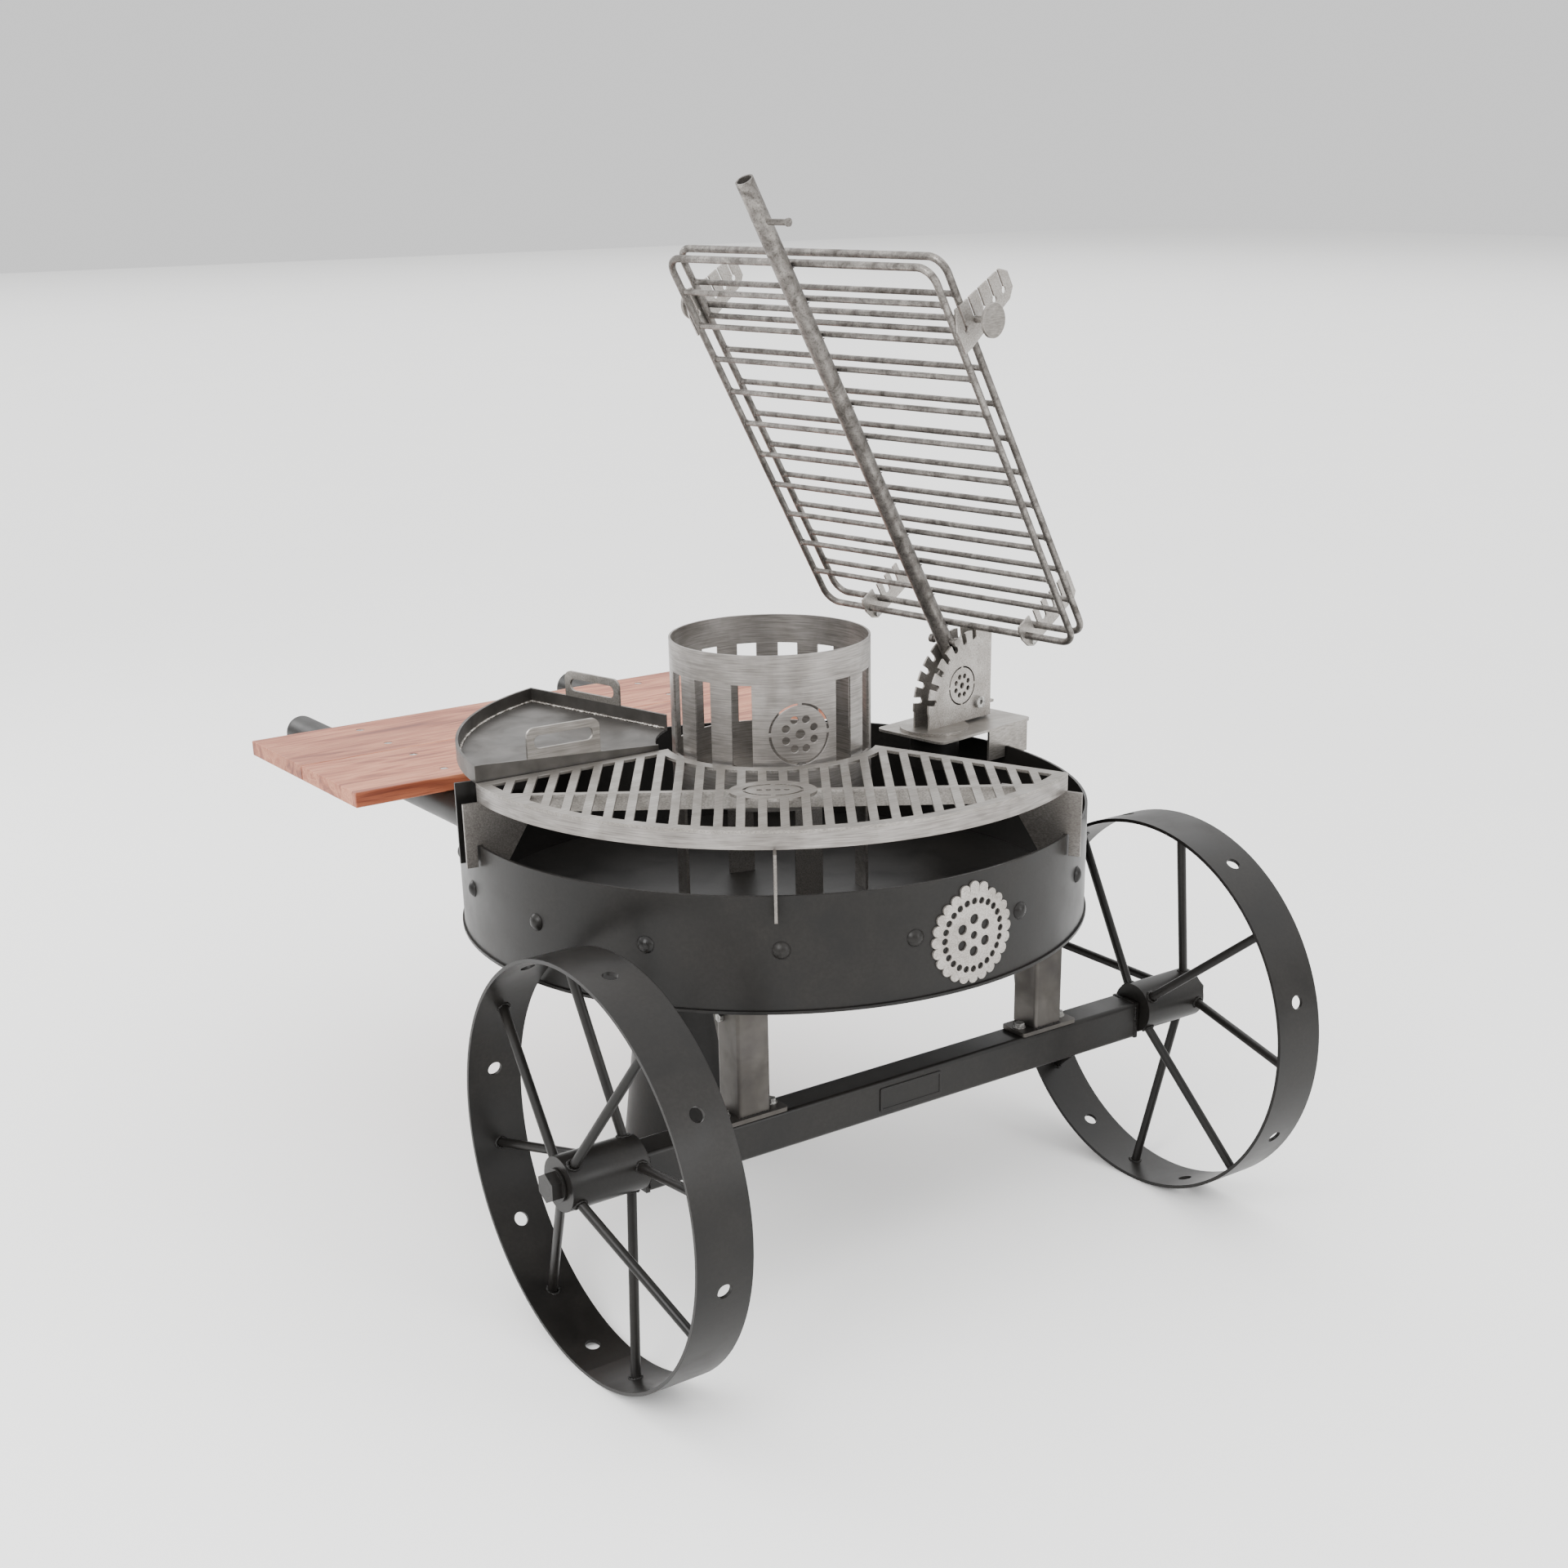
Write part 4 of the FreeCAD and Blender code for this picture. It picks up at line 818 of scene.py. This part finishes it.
@dataclass
class SwingArm:
    """The tilting arm: axes, grill welds and their pieces.

    Attributes:
        azimuth_deg: Direction of the turret from the bowl's axis.
        tilt_deg: Angle of the arm above the horizontal.
        bowl_middle_y: Distance of the bowl's axis behind the wheels' axis.
        pivot_reach: Distance of the pivot from the bowl's axis.
        pivot_height: Height of the pivot above the floor.
        grill_start: Distance of the lower rod from the pivot.
        grill_end: Distance of the upper rod from the pivot.
        first_rod: Distance of the first cross rod from the lower rod.
        rod_pitch: Distance between cross rods.
        rod_count: Number of cross rods.
        half_width: Half the grill's width.
        frame_radius: Radius of the frame's rod.
        frame_depth: How far inside the frame's axis a bead sits, as a part of its radius.
        rod_radius: Radius of a cross rod.
        tube_radius: Radius of the arm's tube.
        near_plane: Distance of the fixed grill from the tube's axis.
        far_plane: Distance of the loose grill from the tube's axis.
        ring_gap: How far a bead stands off its rod.
        ring_points: Number of points on a bead round a rod.
        weld_step: Distance of a tube weld from its rod's axis.
        weld_lift: How far a tube weld stands off the tube.
        weld_half: Half the length of a tube weld.
        axes: Directions along, above and across the arm.
        pivot: The middle of the pivot.
    """

    azimuth_deg: float = 9.5
    tilt_deg: float = 58.7
    bowl_middle_y: float = 0.306
    pivot_reach: float = 0.433
    pivot_height: float = 0.685
    grill_start: float = 0.144
    grill_end: float = 0.757
    first_rod: float = 0.061
    rod_pitch: float = 0.0554
    rod_count: int = 10
    half_width: float = 0.247
    frame_radius: float = 0.005
    frame_depth: float = 0.75
    rod_radius: float = 0.004
    tube_radius: float = 0.0125
    near_plane: float = 0.0175
    far_plane: float = 0.0417
    ring_gap: float = 0.0004
    ring_points: int = 10
    weld_step: float = 0.0042
    weld_lift: float = 0.0006
    weld_half: float = 0.0045
    axes: tuple[Vector, Vector, Vector] = field(init=False)
    pivot: Vector = field(init=False)

    def __post_init__(self) -> None:
        """Work out the arm's directions and pivot."""
        turn = math.radians(self.azimuth_deg)
        tilt = math.radians(self.tilt_deg)
        out = Vector((math.cos(turn), math.sin(turn), 0))
        up = Vector((0, 0, 1))
        along = up * math.sin(tilt) - out * math.cos(tilt)
        above = out * math.sin(tilt) + up * math.cos(tilt)
        self.axes = (along, above, along.cross(above))
        self.pivot = Vector((0, self.bowl_middle_y, self.pivot_height)) + out * self.pivot_reach

    def at(self, along: float, above: float, across: float) -> Vector:
        """A point given in the arm's own directions.

        Args:
            along: Distance up the arm from the pivot.
            above: Distance towards its upper side.
            across: Distance across it.

        Returns:
            The point in the frame.
        """
        a, b, c = self.axes
        return self.pivot + a * along + b * above + c * across

    def rod_ends(self, plane: float) -> list[Bead]:
        """Short beads where the cross rods meet the frame.

        Args:
            plane: Distance of the grill's plane from the tube's axis.

        Returns:
            The bead paths.
        """
        found = []
        inner = self.half_width - self.frame_radius * self.frame_depth
        for k in range(self.rod_count):
            s = self.grill_start + self.first_rod + k * self.rod_pitch
            for side in (-1, 1):
                centre = self.at(s, plane, side * inner)
                found.append(ring(centre, self.axes[2], self.rod_radius + self.ring_gap, self.ring_points))
        return found

    def tube_welds(self) -> list[Bead]:
        """Beads where the rods cross the arm's tube.

        Returns:
            The bead paths.
        """
        found = []
        places = [self.grill_start] + [self.grill_start + self.first_rod + k * self.rod_pitch
                                       for k in range(self.rod_count)]
        for s in places + [self.grill_end]:
            for step in (-1, 1):
                along = s + step * self.weld_step
                above = self.tube_radius + self.weld_lift
                start = self.at(along, above, -self.weld_half)
                end = self.at(along, above, self.weld_half)
                found.append(Bead([start, end]))
        return found

    def build(self, welds: WeldGroup, box: Paintbox) -> None:
        """Add the beads of both grills.

        Args:
            welds: The bead maker.
            box: The finishes.
        """
        fixed = welds.lay("welds_grill", self.rod_ends(self.near_plane) + self.tube_welds(), box.worn,
                          width_mm=1.5, pitch_mm=1.5)
        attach(fixed, "arm")
        loose = welds.lay("welds_clamp", self.rod_ends(self.far_plane), box.worn, width_mm=1.5, pitch_mm=1.5)
        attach(loose, "clamp_grill")


@dataclass
class Cart:
    """Weld beads of the fixed structure.

    Attributes:
        beam_half: Half the beam's length.
        beam_front: The beam's front face.
        beam_back: The beam's back face.
        beam_low: The beam's underside.
        beam_high: The beam's top.
        leg_x: Distance of each front leg from the middle.
        leg_half: Half a leg's width.
        leg_front: The legs' front face.
        leg_base: Top of the foot plates.
        bowl_floor: Underside of the bowl, where the legs end.
        beam_corner: How far a bead stops short of the beam's corners.
        leg_corner: How far a bead stops short of a leg's corners.
    """

    beam_half: float = 0.427
    beam_front: float = -0.017
    beam_back: float = 0.033
    beam_low: float = 0.244
    beam_high: float = 0.299
    leg_x: float = 0.257
    leg_half: float = 0.025
    leg_front: float = -0.012
    leg_base: float = 0.305
    bowl_floor: float = 0.464
    beam_corner: float = 0.006
    leg_corner: float = 0.003

    def beads(self) -> list[Bead]:
        """Beads at the beam's ends and at the legs' feet and tops.

        Returns:
            The bead paths.
        """
        found = []
        low = self.beam_low + self.beam_corner
        high = self.beam_high - self.beam_corner
        for side in (-1, 1):
            x = side * self.beam_half
            found.append(Bead([Vector((x, self.beam_front, low)), Vector((x, self.beam_front, high))]))
            found.append(Bead([Vector((x, self.beam_back, high)), Vector((x, self.beam_back, low))]))
            found.append(Bead([Vector((x, self.beam_front + self.beam_corner, self.beam_high)),
                               Vector((x, self.beam_back - self.beam_corner, self.beam_high))]))
            left = side * self.leg_x - self.leg_half + self.leg_corner
            right = side * self.leg_x + self.leg_half - self.leg_corner
            for z in (self.leg_base, self.bowl_floor):
                found.append(Bead([Vector((left, self.leg_front, z)), Vector((right, self.leg_front, z))]))
        return found

    def build(self, welds: WeldGroup, box: Paintbox) -> None:
        """Add the beads.

        Args:
            welds: The bead maker.
            box: The finishes.
        """
        piece = welds.lay("welds_cart", self.beads(), box.black, width_mm=2.2)
        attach(piece, "cart")


@dataclass
class CookingSurfaces:
    """Weld beads of the griddle and the basket.

    Attributes:
        centre: The bowl's axis.
        griddle_azimuth_deg: Direction of the griddle's middle.
        griddle_half_deg: Half the angle between its straight walls.
        griddle_offset: How far the walls stand in from the sector's sides.
        griddle_inner: Distance of its inner end from the bowl's axis.
        griddle_outer: Distance of its round wall from the bowl's axis.
        wall: Thickness of its walls.
        griddle_floor: Height of its plate's top.
        bead_lift: How far its beads stand off the plate and walls.
        end_gap: Where the beads start, out from its inner end.
        arc_steps: Number of steps along its round wall.
        basket_radius: Distance of the legs' beads from the bowl's axis.
        basket_bottom: Height of the sleeve's lower edge.
        basket_legs: Number of legs under the basket.
        basket_leg_deg: Direction of the first leg.
        basket_weld_rad: Half the angle that a leg's bead spans.
    """

    centre: Vector = field(default_factory=lambda: Vector((0, 0.306, 0)))
    griddle_azimuth_deg: float = -218.5
    griddle_half_deg: float = 37.0
    griddle_offset: float = 0.048
    griddle_inner: float = 0.165
    griddle_outer: float = 0.444
    wall: float = 0.004
    griddle_floor: float = 0.708
    bead_lift: float = 0.0008
    end_gap: float = 0.004
    arc_steps: int = 40
    basket_radius: float = 0.1404
    basket_bottom: float = 0.640
    basket_legs: int = 4
    basket_leg_deg: float = -104.0
    basket_weld_rad: float = 0.115

    def griddle_beads(self) -> list[Bead]:
        """Beads inside the griddle, along both straight walls and the round one.

        Returns:
            The bead paths.
        """
        half = math.radians(self.griddle_half_deg)
        turn = math.radians(self.griddle_azimuth_deg)
        inset = self.griddle_offset + self.wall + self.bead_lift
        apex = inset / math.sin(half)
        rim = self.griddle_outer - self.wall - self.bead_lift
        z = self.griddle_floor + self.bead_lift
        found = []
        tips = []
        for side in (1, -1):
            start = self._meet(self.griddle_inner + self.end_gap, apex, side * half)
            end = self._meet(rim, apex, side * half)
            tips.append(math.atan2(end[1], end[0]))
            found.append([start, end])
        arc = []
        for k in range(self.arc_steps + 1):
            angle = tips[0] + (tips[1] - tips[0]) * k / self.arc_steps
            arc.append((rim * math.cos(angle), rim * math.sin(angle)))
        found.append(arc)
        spin = Matrix.Rotation(turn, 3, "Z")
        return [Bead([self.centre + spin @ Vector((x, y, z)) for x, y in line]) for line in found]

    def _meet(self, radius: float, apex: float, angle: float) -> tuple[float, float]:
        """Where a straight side crosses a circle round the bowl's axis.

        Args:
            radius: The circle's radius.
            apex: Where the side starts, out along the middle.
            angle: The side's direction.

        Returns:
            The crossing point.
        """
        c = math.cos(angle)
        d = -apex * c + math.sqrt(apex * apex * c * c - apex * apex + radius * radius)
        return (apex + d * c, d * math.sin(angle))

    def basket_beads(self) -> list[Bead]:
        """Short beads where the basket's legs meet the sleeve.

        Returns:
            The bead paths.
        """
        found = []
        for k in range(self.basket_legs):
            middle = math.radians(self.basket_leg_deg + 360 / self.basket_legs * k)
            points = []
            for step in (-1, 0, 1):
                angle = middle + step * self.basket_weld_rad
                points.append(self.centre + Vector((self.basket_radius * math.cos(angle),
                                                    self.basket_radius * math.sin(angle),
                                                    self.basket_bottom)))
            found.append(Bead(points))
        return found

    def build(self, welds: WeldGroup, box: Paintbox) -> None:
        """Add the beads.

        Args:
            welds: The bead maker.
            box: The finishes.
        """
        pan = welds.lay("welds_griddle", self.griddle_beads(), box.bead, width_mm=2.4, pitch_mm=2.6)
        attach(pan, "griddle")
        sleeve = welds.lay("welds_basket", self.basket_beads(), box.bead, width_mm=1.4, pitch_mm=1.6)
        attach(sleeve, "basket")


@dataclass
class FireCart:
    """The whole object: its finishes and the added pieces of each sub-assembly.

    Attributes:
        wheels: The two wheels.
        arm: The swing arm.
        cart: The fixed structure.
        surfaces: The cooking surfaces.
    """

    wheels: list[Wheel] = field(default_factory=lambda: [Wheel(-1, 32.5), Wheel(1, 6.0)])
    arm: SwingArm = field(default_factory=SwingArm)
    cart: Cart = field(default_factory=Cart)
    surfaces: CookingSurfaces = field(default_factory=CookingSurfaces)

    def build(self, box: Paintbox) -> None:
        """Paint the frame and add every piece.

        Args:
            box: The finishes.
        """
        box.paint_frame()
        welds = WeldGroup()
        for part in [*self.wheels, self.arm, self.cart, self.surfaces]:
            part.build(welds, box)
            LOG.info("added the pieces of %s", type(part).__name__)


# ---- studio ----------------------------------------------------------------------------
@dataclass
class SoftLight:
    """A soft rectangular lamp.

    Attributes:
        name: Its name.
        place: Where it hangs.
        aim: What it points at.
        size: Width and height.
        watts: Its power.
    """

    name: str
    place: tuple[float, float, float]
    aim: tuple[float, float, float]
    size: tuple[float, float]
    watts: float

    def build(self) -> None:
        """Hang the lamp."""
        data = bpy.data.lights.new(self.name, "AREA")
        data.shape = "RECTANGLE"
        data.size, data.size_y = self.size
        data.energy = self.watts
        lamp = bpy.data.objects.new(self.name, data)
        bpy.context.scene.collection.objects.link(lamp)
        lamp.location = self.place
        lamp.rotation_mode = "QUATERNION"
        lamp.rotation_quaternion = (Vector(self.aim) - Vector(self.place)).to_track_quat("-Z", "Y")


@dataclass
class Studio:
    """Floor, backdrop light, lamps and camera.

    Attributes:
        camera_place: Where the camera stands.
        yaw: Heading of the view, from +Y towards +X, in radians.
        pitch: How far the view points down, in radians.
        roll: Tilt of the camera, in radians.
        lens_mm: Focal length for a 36 mm wide frame.
        shift: Shift of the lens, as a part of the frame.
        sensor_mm: Width of the camera's sensor.
        far_limit: How far the camera sees, in metres.
        floor_half: Half the floor's width, in metres.
        sky_strength: Brightness of the room.
        lamps: The lamps.
    """

    camera_place: tuple[float, float, float] = (-1.70855, -2.16799, 1.48260)
    yaw: float = 0.6241
    pitch: float = 0.3988
    roll: float = -0.0126
    lens_mm: float = 49.54
    shift: tuple[float, float] = (-0.02118, 0.17337)
    sensor_mm: float = 36.0
    far_limit: float = 200.0
    floor_half: float = 30.0
    sky_strength: float = 1.0
    lamps: list[SoftLight] = field(default_factory=lambda: [
        SoftLight("key", (-3.0, -1.2, 2.6), (0.0, 0.2, 0.6), (1.6, 2.2), 110.0),
        SoftLight("fill", (1.4, -3.6, 1.6), (0.1, 0.1, 0.5), (1.4, 2.0), 55.0),
        SoftLight("ceiling", (0.0, 4.0, 9.0), (0.0, 4.0, 0.0), (44.0, 44.0), 9000.0),
        SoftLight("back", (-1.5, 3.8, 2.2), (0.0, 0.4, 0.7), (2.0, 1.4), 45.0)])

    def floor(self, box: Paintbox) -> None:
        """Lay the plain pale floor.

        Args:
            box: The finishes.
        """
        half = self.floor_half
        mesh = bpy.data.meshes.new("floor")
        corners = [(-half, -half, 0), (half, -half, 0), (half, half, 0), (-half, half, 0)]
        mesh.from_pydata(corners, [], [(0, 1, 2, 3)])
        mesh.materials.append(box.paper)
        plane = bpy.data.objects.new("floor", mesh)
        bpy.context.scene.collection.objects.link(plane)

    def world(self) -> None:
        """Fill the room with even white light."""
        world = bpy.data.worlds.new("studio")
        world.use_nodes = True
        sky = world.node_tree.nodes["Background"]
        sky.inputs["Color"].default_value = (1.0, 1.0, 1.0, 1.0)
        sky.inputs["Strength"].default_value = self.sky_strength
        bpy.context.scene.world = world

    def camera(self) -> None:
        """Stand the camera at the wanted view."""
        heading = Vector((math.sin(self.yaw), math.cos(self.yaw), 0))
        forward = heading * math.cos(self.pitch) - Vector((0, 0, math.sin(self.pitch)))
        right = Vector((math.cos(self.yaw), -math.sin(self.yaw), 0))
        up = right.cross(forward)
        turned_right = right * math.cos(self.roll) + up * math.sin(self.roll)
        turned_up = up * math.cos(self.roll) - right * math.sin(self.roll)
        rows = Matrix((turned_right, turned_up, -forward)).transposed()
        data = bpy.data.cameras.new("camera")
        data.lens = self.lens_mm
        data.sensor_width = self.sensor_mm
        data.shift_x, data.shift_y = self.shift
        data.clip_end = self.far_limit
        camera = bpy.data.objects.new("camera", data)
        bpy.context.scene.collection.objects.link(camera)
        camera.matrix_world = Matrix.Translation(Vector(self.camera_place)) @ rows.to_4x4()
        bpy.context.scene.camera = camera

    def build(self, box: Paintbox) -> None:
        """Set up the studio.

        Args:
            box: The finishes.
        """
        self.floor(box)
        self.world()
        for lamp in self.lamps:
            lamp.build()
        self.camera()


def main() -> None:
    """Build the looks of the whole object."""
    logging.basicConfig(level=logging.INFO, format="%(name)s: %(message)s")
    box = Paintbox()
    FireCart().build(box)
    Studio().build(box)
    LOG.info("scene ready")


if __name__ == "__main__":
    main()
